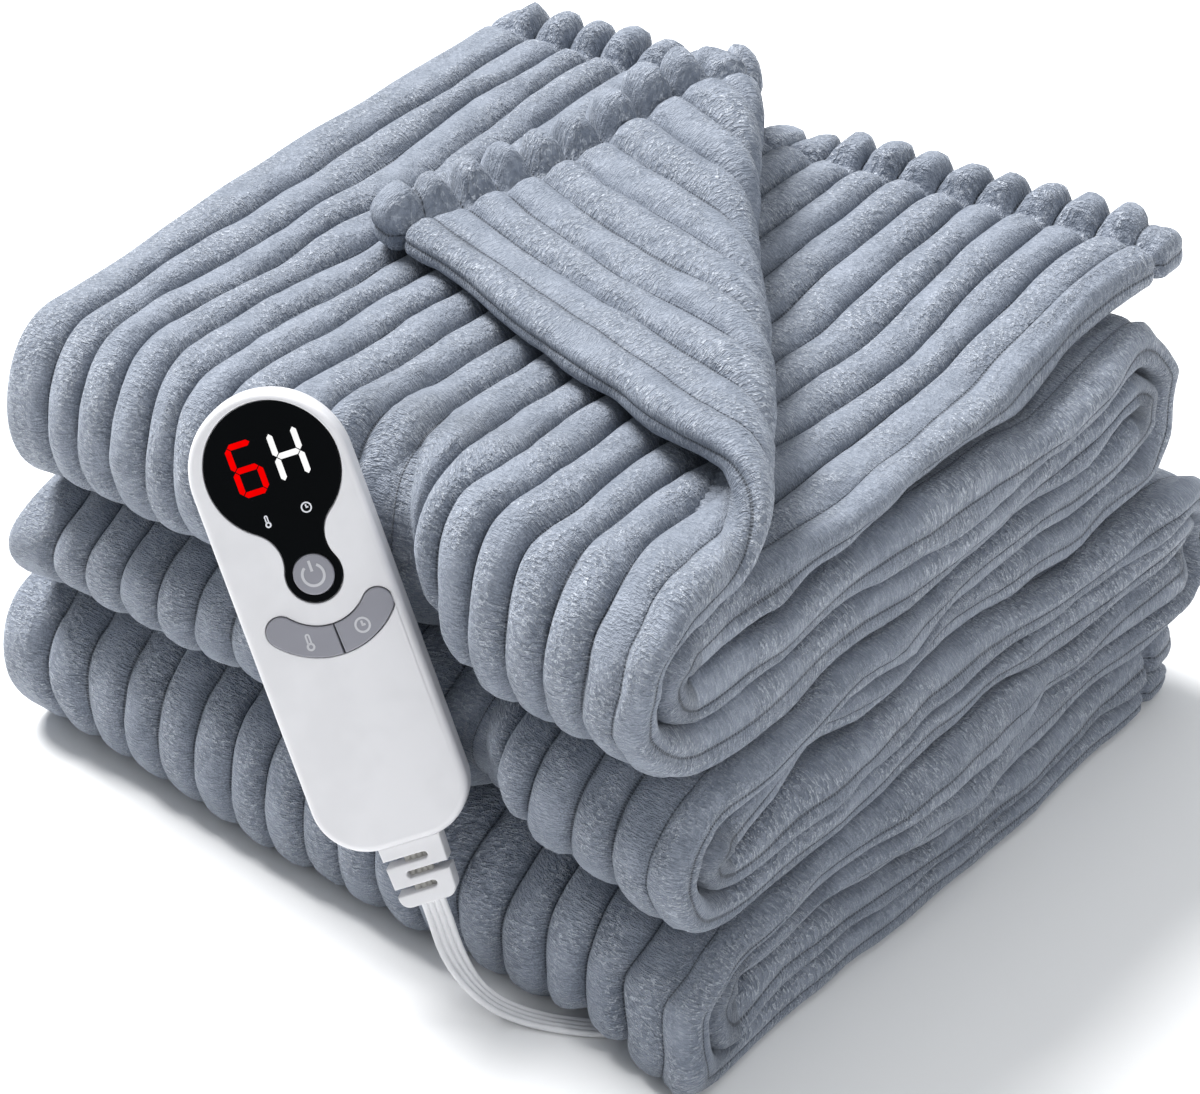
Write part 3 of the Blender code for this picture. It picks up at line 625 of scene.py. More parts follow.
def cloth_grid(columns, stations):
    """Positions, normals, kept points and cloth coordinates for every station and column."""
    *numbers, names, knot, rib = zip(*columns)
    u, w, du, dw, rise, dent = np.array(numbers, float)
    zone = np.array([ZONES.index(name) for name in names])
    knot, rib = np.array(knot), np.array(rib)
    s = Station(*(np.array(row, float)[:, None] for row in zip(*stations)))
    heights = np.ones((len(stations), len(ZONES)))
    heights[:, :4] = np.hstack([s.over, s.under, s.between, s.between])
    height = heights[:, zone]
    joining = (w == 0) & (rise > PAIR_HALF / 2)
    core = np.where(joining, PAIR_MID - HEM_CORE, HEM_CORE)
    out = core + (rise - RIB_DEPTH * dent * height - core) * s.fullness
    swell = hem_swell(u * s.widen, s.left, s.hem, zone, w, rib)
    out = out + HEM_SWELL * swell * (1 - np.where(w > 0, 1.0, 0.45) * dent) * (s.arm > 1)
    recess = HEM_RECESS * np.clip(1 - rise / PAIR_HALF, 0, 1) * (w != 0)
    recess = recess * in_zone(zone, "plain") * np.clip(1 - s.hem / HEM_ROWS, 0, 1)
    above = w + dw * rise > 0
    topmost = above & (s.arm > ARMS - 1.3)
    x = (u + du * out) * s.widen
    x = x + WANDER * value_noise(x / 0.046, s.along / 0.052 + 0 * x, 5)
    x = x + SEAM_WANDER * value_noise(x / 0.016, s.along / 0.027 + 0 * x, 6)
    w = w + dw * out
    across = x / WIDTH + 0.5
    y = mix(s.left, s.right, across) - s.tz * w
    seam = np.abs(np.mod(np.minimum(np.abs(rib), RIBS - 0.5), 1.0) * 2 - 1) ** 2.3
    seam = seam * ~in_zone(zone, "edge")
    y = y - HEM_SCALLOP * seam * (1 - smoothstep(s.hem / 0.013)) - recess
    reach = LOWER_PAIR_REACH * across * smoothstep(y / (DEPTH / 2))
    y = y + np.where(~above & (s.arm >= ARMS - 1), reach, 0)
    z = s.z + s.ty * w
    x = x + s.shift
    buried = in_zone(zone, "upper", "lower") & (past_fold(x, y) < -BURIED)
    buried = buried & (s.hem > HEM_ROWS)
    x, y, z = swayed(*settled(*rolled(x, y, z, topmost)))
    x, y, z = parted(*seated(*crumpled(x, y, z), controller_frame()))
    spots = np.stack([x, y, z], -1)
    normals = grid_normals(spots)
    cloth_u = rib * RIB_PITCH + 0 * x
    cloth_v = s.along + 0 * x
    relief = 0.0
    for seed, size in enumerate(SWELLS, 11):
        at = (cloth_u / size.across + 7.3 * (zone + 1), cloth_v / size.along)
        relief = relief + size.height * value_noise(*at, seed)
    shows = ~in_zone(zone, "plain") * (height > 0.3)
    shows = shows * smoothstep(spots[..., 2] / 0.004) * smoothstep(s.hem / 0.005)
    spots = spots + normals * (relief * shows * (1 - 0.6 * dent))[..., None]
    spots[..., 2] = np.maximum(spots[..., 2], 0.0)
    return spots, knot | ((height > 0) & ~buried), cloth_u, cloth_v


def add_object(name, data):
    made = bpy.data.objects.new(name, data)
    bpy.context.scene.collection.objects.link(made)
    return made


def mesh_of(name, verts, faces, uv=None):
    data = bpy.data.meshes.new(name)
    data.from_pydata(verts, [], faces)
    if uv is not None:
        layer = data.uv_layers.new(name="cloth")
        corners = np.zeros(len(data.loops), np.int32)
        data.loops.foreach_get("vertex_index", corners)
        layer.data.foreach_set("uv", np.asarray(uv, np.float32)[corners].ravel())
    data.polygons.foreach_set("use_smooth", [True] * len(data.polygons))
    data.update()
    return add_object(name, data)


def throw_cloth():
    """The whole folded throw as one closed mesh, fine where it shows."""
    parts = section()
    columns = [column for part in parts for column in part]
    stations = path()
    spots, kept, cloth_u, cloth_v = cloth_grid(columns, stations)
    index = np.full(kept.shape, -1)
    index[kept] = np.arange(kept.sum())
    knots = [i for i, column in enumerate(columns) if column.knot]
    spans = [
        [i % len(columns) for i in range(a, b + 1)]
        for a, b in zip(knots, knots[1:] + [len(columns)])
    ]
    faces = []
    for first, second in zip(index, index[1:]):
        for span in spans:
            near = [int(first[i]) for i in span]
            far = [int(second[i]) for i in span]
            if min(near) >= 0 and min(far) >= 0:
                faces += zip(near, near[1:], far[1:], far)
            else:
                faces.append([i for i in near + far[::-1] if i >= 0])
    faces += end_faces(parts, index[0]) + end_faces(parts, index[-1])
    uv = np.stack([cloth_u[kept], cloth_v[kept]], -1)
    cloth = mesh_of("throw_cloth", spots[kept].tolist(), faces, uv)
    work = bmesh.new()
    work.from_mesh(cloth.data)
    many = [face for face in work.faces if len(face.verts) > 4]
    bmesh.ops.triangulate(work, faces=many)
    bmesh.ops.recalc_face_normals(work, faces=work.faces)
    work.to_mesh(cloth.data)
    work.free()
    print("cloth triangles", sum(len(p.vertices) - 2 for p in cloth.data.polygons))
    return cloth


# --- outlines of the controller, in XY


def arc(centre, radius, first, last, steps):
    """Points from one angle to the other, in degrees."""
    turns = [mix(first, last, step / steps) for step in range(steps + 1)]
    return [Vector(centre) + Vector(toward(turn)) * radius for turn in turns]


def circle(centre, radius, steps=64):
    return arc(centre, radius, 0, 360, steps)[:-1]


def body_outline():
    half = BODY_WIDTH / 2
    low_y = LOWER_CORNER - BODY_LENGTH / 2
    low_x = half - LOWER_CORNER
    points = arc((0, BODY_LENGTH / 2 - half), half, 0, 180, 64)
    points += arc((-low_x, low_y), LOWER_CORNER, 180, 270, 24)
    points += arc((low_x, low_y), LOWER_CORNER, 270, 360, 24)
    return points


def panel_outline(grow):
    """Two circles joined by a hollow neck on each side."""
    big = DISPLAY_RADIUS + grow
    small = POWER_RIM + grow
    hollow = PANEL_NECK - grow
    span = POWER_AT - DISPLAY_AT
    gap = span.length
    along = ((big + hollow) ** 2 - (small + hollow) ** 2 + gap**2) / (2 * gap)
    aside = math.sqrt((big + hollow) ** 2 - along**2)
    heading = math.degrees(math.atan2(span.y, span.x))
    at_big = math.degrees(math.atan2(aside, along))
    at_small = math.degrees(math.atan2(aside, gap - along))
    axis = span.normalized()
    neck, out = DISPLAY_AT + axis * along, Vector((-axis.y, axis.x)) * aside
    points = arc(DISPLAY_AT, big, heading + at_big, heading + 360 - at_big, 84)
    points += arc(neck - out, hollow, heading + 180 - at_big, heading + at_small, 20)[1:-1]
    points += arc(POWER_AT, small, heading - 180 + at_small, heading + 180 - at_small, 40)
    points += arc(neck + out, hollow, heading - at_small, heading - 180 + at_big, 20)[1:-1]
    return points


def on_keys(degrees):
    """The middle of the curved keys in a direction from the power key."""
    return POWER_AT + Vector(toward(degrees)) * KEY_RADIUS


def key_outline(first, last, round_first, round_last, grow):
    """A stretch of the ring about the power key, with round or straight ends; degrees."""
    half = KEY_HALF + grow
    points = arc(POWER_AT, KEY_RADIUS + half, first, last, 28)
    if round_last:
        points += arc(on_keys(last), half, last, last + 180, 20)[1:-1]
    points += arc(POWER_AT, KEY_RADIUS - half, last, first, 28)
    if round_first:
        points += arc(on_keys(first), half, first + 180, first + 360, 20)[1:-1]
    return points


def relief_outline():
    """The strain relief: slots from its two sides in turn, round corners at its lower end."""
    half_x, half_y = RELIEF_SIZE.x / 2, RELIEF_SIZE.y / 2
    corner, half = 0.0036, SLOT_SIZE.y / 2
    end = SLOT_SIZE.x - half_x - 0.0005

    def notch(side, level):
        """Down the left side; for the right side, turned half round."""
        points = [Vector((-half_x, side * level + half))]
        points += arc((end - half, side * level), half, 90, -90, 12)
        points.append(Vector((-half_x, side * level - half)))
        return [point * side for point in points]

    points = [Vector((half_x, half_y)), Vector((-half_x, half_y))]
    points += notch(1, SLOT_PITCH) + notch(1, -SLOT_PITCH)
    points += arc((corner - half_x, corner - half_y), corner, 180, 270, 12)
    points += arc((half_x - corner, corner - half_y), corner, 270, 360, 12)
    points += notch(-1, 0)
    return [Vector((p.x * (1 + 0.05 * p.y / half_y), p.y)) for p in points]


def drawn_in(outline, amount):
    """An anticlockwise outline moved inward."""
    moved = []
    befores, afters = outline[-1:] + outline[:-1], outline[1:] + outline[:1]
    for before, point, after in zip(befores, outline, afters):
        first, second = (point - before).normalized(), (after - point).normalized()
        inward = Vector((-first.y - second.y, first.x + second.x)).normalized()
        share = max(0.4, inward.dot(Vector((-first.y, first.x))))
        moved.append(point + inward * amount / share)
    return moved


# --- solids from outlines


def ring(mesh, outline, height):
    return [mesh.verts.new((*point, height)) for point in outline]


def band(mesh, low, high):
    for i in range(len(low)):
        j = (i + 1) % len(low)
        mesh.faces.new((low[i], low[j], high[j], high[i]))


def wall(mesh, outline, profile):
    """Bands through rows of how far the outline is drawn in, and its height."""
    rings = [ring(mesh, drawn_in(outline, inset), height) for inset, height in profile]
    for low, high in zip(rings, rings[1:]):
        band(mesh, low, high)
    return rings


def holed_face(mesh, rings):
    """A flat face within the first ring and outside the others."""
    edges = [mesh.edges.get((r[i - 1], r[i])) for r in rings for i in range(len(r))]
    bmesh.ops.triangle_fill(mesh, edges=edges, use_beauty=True)


def quarter(radius, steps):
    """Sides of a quarter turn: how far it has still to go across, and how far it went up."""
    turns = [math.pi / 2 * step / steps for step in range(steps + 1)]
    return [(radius * (1 - math.cos(turn)), radius * (1 - math.sin(turn))) for turn in turns]


def over_edge(radius, top, steps):
    """Profile of a rounded outer edge, from the side up to the face."""
    return [(inset, top - below) for inset, below in quarter(radius, steps)]


def under_edge(radius, bottom, steps=6):
    rows = over_edge(radius, bottom, steps)
    return [(inset, 2 * bottom - height) for inset, height in rows[::-1]]


def lip(radius, top):
    """Profile of a well's rounded edge, from the face down to its wall."""
    return [(-outset, top - below) for below, outset in quarter(radius, 4)]


def slab(outline, bottom, top, round_top, round_bottom=0.0, holes=()):
    """A plate with rounded edges and holes through it."""
    mesh = bmesh.new()
    low = under_edge(round_bottom, bottom) if round_bottom else [(0, bottom)]
    rings = wall(mesh, outline, low + over_edge(round_top, top, 5))
    lows, highs = [rings[0]], [rings[-1]]
    for hole in holes:
        inner = wall(mesh, hole, lip(round_top * 0.6, top) + [(0, bottom)])
        highs.append(inner[0])
        lows.append(inner[-1])
    for loops in (lows, highs):
        if holes:
            holed_face(mesh, loops)
        else:
            mesh.faces.new(loops[0])
    return mesh


def strip(mesh, points, width, low, high, closed=False):
    """A flat raised line along points."""
    count = len(points)
    rows = []
    for i, point in enumerate(points):
        before = points[i - 1] if i or closed else point
        after = points[(i + 1) % count] if i + 1 < count or closed else point
        along = (after - before).normalized()
        side = Vector((-along.y, along.x)) * width / 2
        corners = ((1, low), (-1, low), (-1, high), (1, high))
        rows.append([mesh.verts.new((*(point + side * sign), z)) for sign, z in corners])
    pairs = list(zip(rows, rows[1:])) + ([(rows[-1], rows[0])] if closed else [])
    for first, second in pairs:
        band(mesh, first, second)
    if not closed:
        mesh.faces.new(rows[0])
        mesh.faces.new(rows[-1])


def prism(mesh, outline, low, high):
    lower, upper = ring(mesh, outline, low), ring(mesh, outline, high)
    band(mesh, lower, upper)
    mesh.faces.new(lower)
    mesh.faces.new(upper)


SHARP_FROM = 38  # degrees between two faces


def piece(name, mesh, frame, look, body, stands_for=None, flats=True):
    """An object of a bmesh in a frame: flat faces stay flat, rounded edges are smooth."""
    bmesh.ops.recalc_face_normals(mesh, faces=mesh.faces)
    for face in mesh.faces:
        face.smooth = True
    for edge in mesh.edges:
        flat = [flats and abs(face.normal.z) > 0.9999 for face in edge.link_faces]
        even = len(flat) == 2 and flat[0] == flat[1]
        edge.smooth = even and edge.calc_face_angle(0) < math.radians(SHARP_FROM)
    data = bpy.data.meshes.new(name)
    mesh.to_mesh(data)
    mesh.free()
    data.materials.append(look)
    made = add_object(name, data)
    made.matrix_world = frame
    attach(made, body)
    if stands_for:
        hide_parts(stands_for)
    return made


# --- pieces of the controller

PARTING = 0.0012  # level of the groove between the shell's two halves
PARTING_CUT = 0.00022
INK = 0.00003  # printed and lit signs stand this far over what they are on
INK_ROOT = 0.0002  # and start this far inside it
SIGN_CELL = 0.0082  # side of one of the two squares that a lit sign fills
SIGN_BAR = 0.0020
SIGN_GAP = 0.00022  # from the end of a lit bar to its corner
SIX_AT = Vector((-0.0062, 0.0555))
HOURS_AT = Vector((0.0084, 0.0561))
POWER_LINE = 0.0009


def shell_mesh():
    mesh = bmesh.new()
    seam = [(0, PARTING - PARTING_CUT), (PARTING_CUT, PARTING), (0, PARTING + PARTING_CUT)]
    profile = under_edge(BACK_ROUND, -FACE, 14) + seam + over_edge(FRONT_ROUND, FACE, 8)
    rings = wall(mesh, body_outline(), profile)
    mesh.faces.new(rings[0])
    floor = FACE - PANEL_THICK - FIT
    deep = (0, FACE - WELL_DEPTH)
    panel = wall(mesh, panel_outline(FIT), lip(0.0005, FACE) + [(0, floor)])
    power = wall(mesh, circle(POWER_AT, POWER_RADIUS + FIT), [(0, floor), deep])
    both = key_outline(-90 - KEY_END, -90 + KEY_END, True, True, FIT)
    keys = wall(mesh, both, lip(0.0004, FACE) + [deep])
    holed_face(mesh, [rings[-1], panel[0], keys[0]])
    holed_face(mesh, [panel[-1], power[0]])
    mesh.faces.new(power[-1])
    mesh.faces.new(keys[-1])
    return mesh


def bar_outline(first, last):
    """A lit bar of a sign: six-sided, with pointed ends."""
    along = (last - first).normalized()
    side = Vector((-along.y, along.x)) * SIGN_BAR / 2
    start, end = first + along * SIGN_GAP, last - along * SIGN_GAP
    low, high = start + along * SIGN_BAR / 2, end - along * SIGN_BAR / 2
    return [start, low - side, high - side, end, high + side, low + side]


def sign_mesh(centre, bars):
    mesh = bmesh.new()
    for bar in bars:
        ends = [centre + Vector((x * SIGN_CELL / 2, y * SIGN_CELL)) for x, y in bar]
        prism(mesh, bar_outline(*ends), FACE - INK_ROOT, FACE + INK)
    return mesh


# Bars of a seven-bar sign: each is given by the two corners that it joins
TOP, BOTTOM = ((-1, 1), (1, 1)), ((-1, -1), (1, -1))
HIGH_LEFT, HIGH_RIGHT = ((-1, 0), (-1, 1)), ((1, 0), (1, 1))
LOWER_BARS = (((-1, 0), (1, 0)), ((-1, -1), (-1, 0)), ((1, -1), (1, 0)))
SIX = (TOP, HIGH_LEFT, *LOWER_BARS, BOTTOM)
HOURS = (HIGH_LEFT, HIGH_RIGHT, *LOWER_BARS)


def warmth_sign(mesh, centre, size, low, high):
    """A thermometer."""
    width, half, top = size * 0.13, size * 0.10, size * 0.36
    bulb = centre + Vector((0, -size * 0.30))
    strip(mesh, circle(bulb, size * 0.19, 20), width, low, high, closed=True)
    tube = [bulb + Vector((-half, size * 0.17)), centre + Vector((-half, top))]
    tube += arc(centre + Vector((0, top)), half, 180, 0, 8)[1:-1]
    tube += [centre + Vector((half, top)), bulb + Vector((half, size * 0.17))]
    strip(mesh, tube, width * 0.8, low, high)


def clock_sign(mesh, centre, size, low, high):
    """A clock face with two hands."""
    width = size * 0.13
    strip(mesh, circle(centre, size * 0.42, 28), width, low, high, closed=True)
    hands = [centre + Vector((0, size * 0.26)), centre, centre + Vector((size * 0.18, 0))]
    strip(mesh, hands[:2], width, low, high)
    strip(mesh, [centre + Vector((-width / 2, 0)), hands[2]], width, low, high)


def power_sign(mesh, low, high):
    """An open ring with an upright bar."""
    strip(mesh, arc((0, 0), 0.0036, 125, 415, 40), POWER_LINE, low, high)
    strip(mesh, [Vector((0, 0.0012)), Vector((0, 0.0049))], POWER_LINE, low, high)


def curved_key(name, first, last, round_first, round_last, sign, frame, looks):
    outline = key_outline(first, last, round_first, round_last, 0)
    top = FACE + KEY_PROUD
    key = slab(outline, top - KEY_THICK, top, 0.00045)
    body = name.split("_")[0]
    piece(name + "_cap", key, frame, looks["grey_key"], body, name)
    mark = bmesh.new()
    sign(mark, on_keys((first + last) / 2), 0.0056, top - INK_ROOT, top + INK * 2)
    piece(name + "_sign", mark, frame, looks["key_sign"], body)


def relief_frame(frame):
    low = -BODY_LENGTH / 2 - FIT - RELIEF_SIZE.y / 2
    return frame @ Matrix.Translation((0, low, RELIEF_OUT))


def smooth_route(points):
    """A Catmull-Rom curve through the route's points."""
    route = []
    ends = [points[0] * 2 - points[1]] + points + [points[-1] * 2 - points[-2]]
    for a, b, c, d in zip(ends, ends[1:], ends[2:], ends[3:]):
        steps = max(1, round((c - b).length / CORD_STEP))
        bend, twist = 2 * a - 5 * b + 4 * c - d, 3 * b - a - 3 * c + d
        for t in (step / steps for step in range(steps)):
            route.append(0.5 * (2 * b + (c - a) * t + bend * t**2 + twist * t**3))
    return route + [points[-1]]


def headings(route):
    """Directions along a route, one at each of its points."""
    ends = zip([route[0], *route[:-1]], [*route[1:], route[-1]])
    return [(after - before).normalized() for before, after in ends]


def lead_section():
    """Outline of four round cores side by side: across, and towards its face."""
    points = []
    pitch = CORD_WIDTH / 4
    for start, side in ((180, 1), (0, -1)):
        for core in range(4):
            middle = (core - 1.5) * pitch * side
            first, last = (24 if core > 0 else 0), (156 if core < 3 else 180)
            points += arc((middle, 0), CORE_RADIUS, start + first, start + last, 7)
    return points


def lead_mesh(route, sides):
    """The flat lead along a route; sides are the directions of its width."""
    mesh = bmesh.new()
    outline = lead_section()
    rings = []
    for spot, side, along in zip(route, sides, headings(route)):
        across = (side - along * side.dot(along)).normalized()
        facing = along.cross(across)
        rings.append([mesh.verts.new(spot + across * p.x + facing * p.y) for p in outline])
    for low, high in zip(rings, rings[1:]):
        band(mesh, low, high)
    mesh.faces.new(rings[0])
    mesh.faces.new(rings[-1])
    return mesh


def lead(frame, look):
    """The lead from the strain relief to the fold that it goes under."""
    turn = frame.to_3x3()
    start = relief_frame(frame) @ Vector((0, -RELIEF_SIZE.y / 2 - FIT, 0))
    points = [start, start - turn.col[1] * CORD_START] + [Vector(row) for row in CORD_ROUTE]
    route = []
    for spot in smooth_route(points):
        low = 1 - float(smoothstep((spot.z - CORD_ROUTE[-1][2]) / 0.016))
        route.append(spot - Vector((0, 0, (CORD_WIDTH / 2 - CORE_RADIUS) * low)))
    sides = []
    for spot, along in zip(route, headings(route)):
        level = Vector((-along.y, along.x, 0)).normalized()
        laid = float(smoothstep((0.040 - spot.z) / 0.034))
        sides.append((turn.col[0] * (1 - laid) + level * laid).normalized())
    mesh = lead_mesh(route, sides)
    made = piece("lead", mesh, Matrix(), look, "throw", "cord", flats=False)


def controller(looks):
    frame = controller_frame()

    def add(name, mesh, look, slot, stands_for=None, body="throw", at=frame):
        piece(name, mesh, at, looks[look], body, stands_for)

    add("shell", shell_mesh(), "white_plastic", "white_plastic", "controller_shell")
    hole = circle(POWER_AT, POWER_RADIUS + FIT)
    window = slab(panel_outline(0), FACE - PANEL_THICK, FACE, 0.0002, holes=[hole])
    add("window", window, "black_gloss", "black_gloss", "display_panel")
    add("six", sign_mesh(SIX_AT, SIX), "red_light", "black_gloss")
    add("hours", sign_mesh(HOURS_AT, HOURS), "white_light", "black_gloss")
    signs = bmesh.new()
    warmth_sign(signs, Vector((-0.0060, 0.0372)), 0.0040, FACE - INK_ROOT, FACE + INK)
    clock_sign(signs, Vector((0.0078, 0.0378)), 0.0038, FACE - INK_ROOT, FACE + INK)
    add("window_signs", signs, "pale_print", "black_gloss")
    top = KEY_THICK / 2
    at = frame @ Matrix.Translation((*POWER_AT, FACE + KEY_PROUD - top))
    cap = slab(circle((0, 0), POWER_RADIUS), -top, top, 0.0006)
    add("power_cap", cap, "grey_key", "grey_key", "power_key", "power", at)
    mark = bmesh.new()
    power_sign(mark, top - INK_ROOT, top + INK * 3)
    add("power_sign", mark, "key_sign", "grey_key", None, "power", at)
    low, high = -90 - KEY_END, -90 + KEY_END
    gap = math.degrees(FIT / KEY_RADIUS)
    split = -90 + KEY_SPLIT
    curved_key("left_key", low, split - gap, True, False, warmth_sign, frame, looks)
    curved_key("right_key", split + gap, high, False, True, clock_sign, frame, looks)
    half = RELIEF_SIZE.z / 2
    at = relief_frame(frame)
    relief = slab(relief_outline(), -half, half, 0.0006, 0.0006)
    add("relief", relief, "white_plastic", "white_plastic", "strain_relief", at=at)
    inner = [Vector((0, y, 0)) for y in (RELIEF_SIZE.y / 2 - 0.001, -RELIEF_SIZE.y / 2 + 0.001)]
    core = lead_mesh(inner, [Vector((1, 0, 0))] * 2)
    add("relief_core", core, "dull_core", "white_cord", at=at)
    lead(frame, looks["white_cord"])


# --- materials

PILE_DARK = (0.103, 0.126, 0.167, 1)
PILE_LIGHT = (0.274, 0.306, 0.370, 1)
# Painted highlight: the colour of glints of light on the tufts
PILE_PAINTED_GLINT = (0.58, 0.62, 0.69, 1)
# The pile's ground colour, also used as painted shade on one rib flank and in the seams
PILE_ROOT_AND_SHADE = (0.070, 0.088, 0.120, 1)
SEAM_SHADE = (0.030, 0.037, 0.050, 1)
STITCH = 0.0013  # from one stitch to the next


class Nodes:
    """Short ways to build one material's node tree."""

    def __init__(self, name):
        self.material = bpy.data.materials.new(name)
        self.material.use_nodes = True
        self.tree = self.material.node_tree
        self.shader = self.tree.nodes["Principled BSDF"]

    def set(self, **values):
        for name, value in values.items():
            self.shader.inputs[name.replace("_", " ")].default_value = value

    def node(self, kind, inputs=None, **settings):
        made = self.tree.nodes.new(kind)
        for name, value in settings.items():
            setattr(made, name, value)
        for key, value in (inputs or {}).items():
            if isinstance(value, bpy.types.NodeSocket):
                self.tree.links.new(value, made.inputs[key])
            else:
                made.inputs[key].default_value = value
        return made

    def math(self, operation, a, b=0.0):
        return self.node("ShaderNodeMath", {0: a, 1: b}, operation=operation).outputs[0]

    def times(self, a, b):
        return self.math("MULTIPLY", a, b)

    def ramp(self, value, low, high, from_low, from_high):
        """Smoothly from low to high as the value goes from from_low to from_high."""
        inputs = {"Value": value, "From Min": from_low, "From Max": from_high}
        inputs.update({"To Min": low, "To Max": high})
        kind = "ShaderNodeMapRange"
        return self.node(kind, inputs, interpolation_type="SMOOTHSTEP").outputs[0]

    def noise(self, vector, scale, detail, rough):
        inputs = {"Vector": vector, "Scale": scale, "Detail": detail, "Roughness": rough}
        return self.node("ShaderNodeTexNoise", inputs).outputs[0]

    def stretched(self, vector, scale):
        return self.node("ShaderNodeMapping", {"Vector": vector, "Scale": scale}).outputs[0]

    def place(self):
        return self.node("ShaderNodeTexCoord").outputs["Object"]

    def blend(self, share, a, b):
        made = self.node("ShaderNodeMix", {0: share, 6: a, 7: b}, data_type="RGBA")
        return made.outputs[2]

    def bump(self, height, distance, strength):
        inputs = {"Height": height, "Distance": distance, "Strength": strength}
        return self.node("ShaderNodeBump", inputs).outputs[0]

    def link(self, output, name):
        self.tree.links.new(output, self.shader.inputs[name])


def plush_material():
    """Brushed pile: cloudy nap, tufts with painted glints, painted shade on ribs, stitched seams.
    """
    m = Nodes("plush")
    m.set(
        Roughness=0.56,
        Sheen_Weight=0.35,
        Sheen_Roughness=0.36,
        Sheen_Tint=(0.84, 0.90, 1.0, 1.0),
        Specular_IOR_Level=0.42,
    )
    uv = m.node("ShaderNodeUVMap", uv_map="cloth").outputs[0]
    parts = m.node("ShaderNodeSeparateXYZ", {0: uv})
    ribs = m.math("DIVIDE", parts.outputs[0], RIB_PITCH)
    plain_edge = m.ramp(m.math("ABSOLUTE", ribs), 0.0, 0.5, RIBS - 0.5, RIBS - 0.3)
    from_seam = m.math("MAXIMUM", m.math("PINGPONG", ribs, 0.5), plain_edge)
    across = m.math("FRACT", ribs)
    place = m.place()
    clouds = m.noise(place, 95.0, 3.0, 0.55)
    patches = m.noise(m.stretched(uv, (1.0, 0.45, 1.0)), 62.0, 2.0, 0.5)
    tufts = m.noise(m.stretched(uv, (0.80, 1.0, 1.0)), 560.0, 2.0, 0.55)
    fibres = m.noise(m.stretched(uv, (0.30, 1.0, 1.0)), 1250.0, 2.0, 0.6)
    grain = m.noise(place, 1700.0, 1.0, 0.5)

    tufted = m.ramp(patches, 0.22, 1.0, 0.40, 0.58)
    curl = m.math("ABSOLUTE", m.math("SUBTRACT", tufts, 0.52))
    curl = m.ramp(curl, 1.0, 0.0, 0.012, 0.055)
    tone = m.ramp(clouds, 0.16, 0.50, 0.30, 0.70)
    tone = m.math("ADD", tone, m.ramp(fibres, -0.04, 0.26, 0.34, 0.66))
    lifted = m.times(m.ramp(tufts, -0.12, 0.30, 0.36, 0.66), tufted)
    tone = m.math("ADD", m.math("ADD", tone, lifted), 0.14)
    body = m.blend(tone, PILE_DARK, PILE_LIGHT)
    # Painted highlight: bright glints where the tufts curl, within the tufted patches
    painted_glint = m.times(m.times(curl, m.ramp(fibres, 0.0, 1.0, 0.44, 0.58)), tufted)
    body = m.blend(m.times(painted_glint, 0.80), body, PILE_PAINTED_GLINT)
    # One flank of each rib is darker: its ground shows where the pile lies flat, plus painted
    # shade
    flank_ground_and_shade = m.ramp(across, 1.0, 0.0, 0.05, 0.46)
    flank_ground_and_shade = m.times(flank_ground_and_shade, m.ramp(across, 0.0, 1.0, 0.0, 0.05))
    flank_ground_and_shade = m.times(flank_ground_and_shade, m.ramp(plain_edge, 1.0, 0.0, 0.0, 0.3))
    body = m.blend(m.times(flank_ground_and_shade, m.ramp(grain, 0.52, 0.05, 0.42, 0.58)), body, PILE_ROOT_AND_SHADE)
    # Painted shade: darker towards each seam, where the stitches run
    body = m.blend(m.ramp(from_seam, 0.32, 0.0, 0.0, 0.14), body, PILE_ROOT_AND_SHADE)
    beat = m.math("SINE", m.times(parts.outputs[1], 2 * math.pi / STITCH))
    thread = m.ramp(from_seam, 0.85, 0.0, 0.010, 0.030)
    dark = m.times(thread, m.ramp(beat, 0.45, 1.0, -0.4, 0.5))
    m.link(m.blend(dark, body, SEAM_SHADE), "Base Color")

    height = m.times(clouds, 1.1)
    raised = ((m.times(tufts, tufted), 1.0), (m.times(curl, tufted), 0.20))
    for level, share in (*raised, (fibres, 0.65), (grain, 0.25), (dark, -0.45)):
        height = m.math("ADD", height, m.times(level, share))
    m.link(m.bump(height, 0.0016, 1.0), "Normal")
    return m.material


def plastic_material(name, colour, roughness, grain, specular):
    m = Nodes(name)
    m.set(Specular_IOR_Level=specular)
    place = m.place()
    cloud = m.noise(place, 55.0, 2.0, 0.5)
    fine = m.noise(place, 3800.0, 2.0, 0.6)
    dull = (*(value * 0.95 for value in colour), 1)
    m.link(m.blend(m.ramp(cloud, 0, 1, 0.35, 0.65), dull, (*colour, 1)), "Base Color")
    m.link(m.ramp(fine, roughness - 0.04, roughness + 0.04, 0.2, 0.8), "Roughness")
    m.link(m.bump(fine, grain, 0.5), "Normal")
    return m.material


def light_material(name, colour, strength):
    """A lit sign: even in the middle, a little weaker in places."""
    m = Nodes(name)
    m.set(Base_Color=(0, 0, 0, 1), Roughness=0.5)
    m.set(Specular_IOR_Level=0.0, Emission_Strength=strength)
    cloud = m.ramp(m.noise(m.place(), 300.0, 1.0, 0.5), 0.0, 1.0, 0.3, 0.7)
    dull = (*(value * 0.88 for value in colour), 1)
    m.link(m.blend(cloud, dull, (*colour, 1)), "Emission Color")
    return m.material


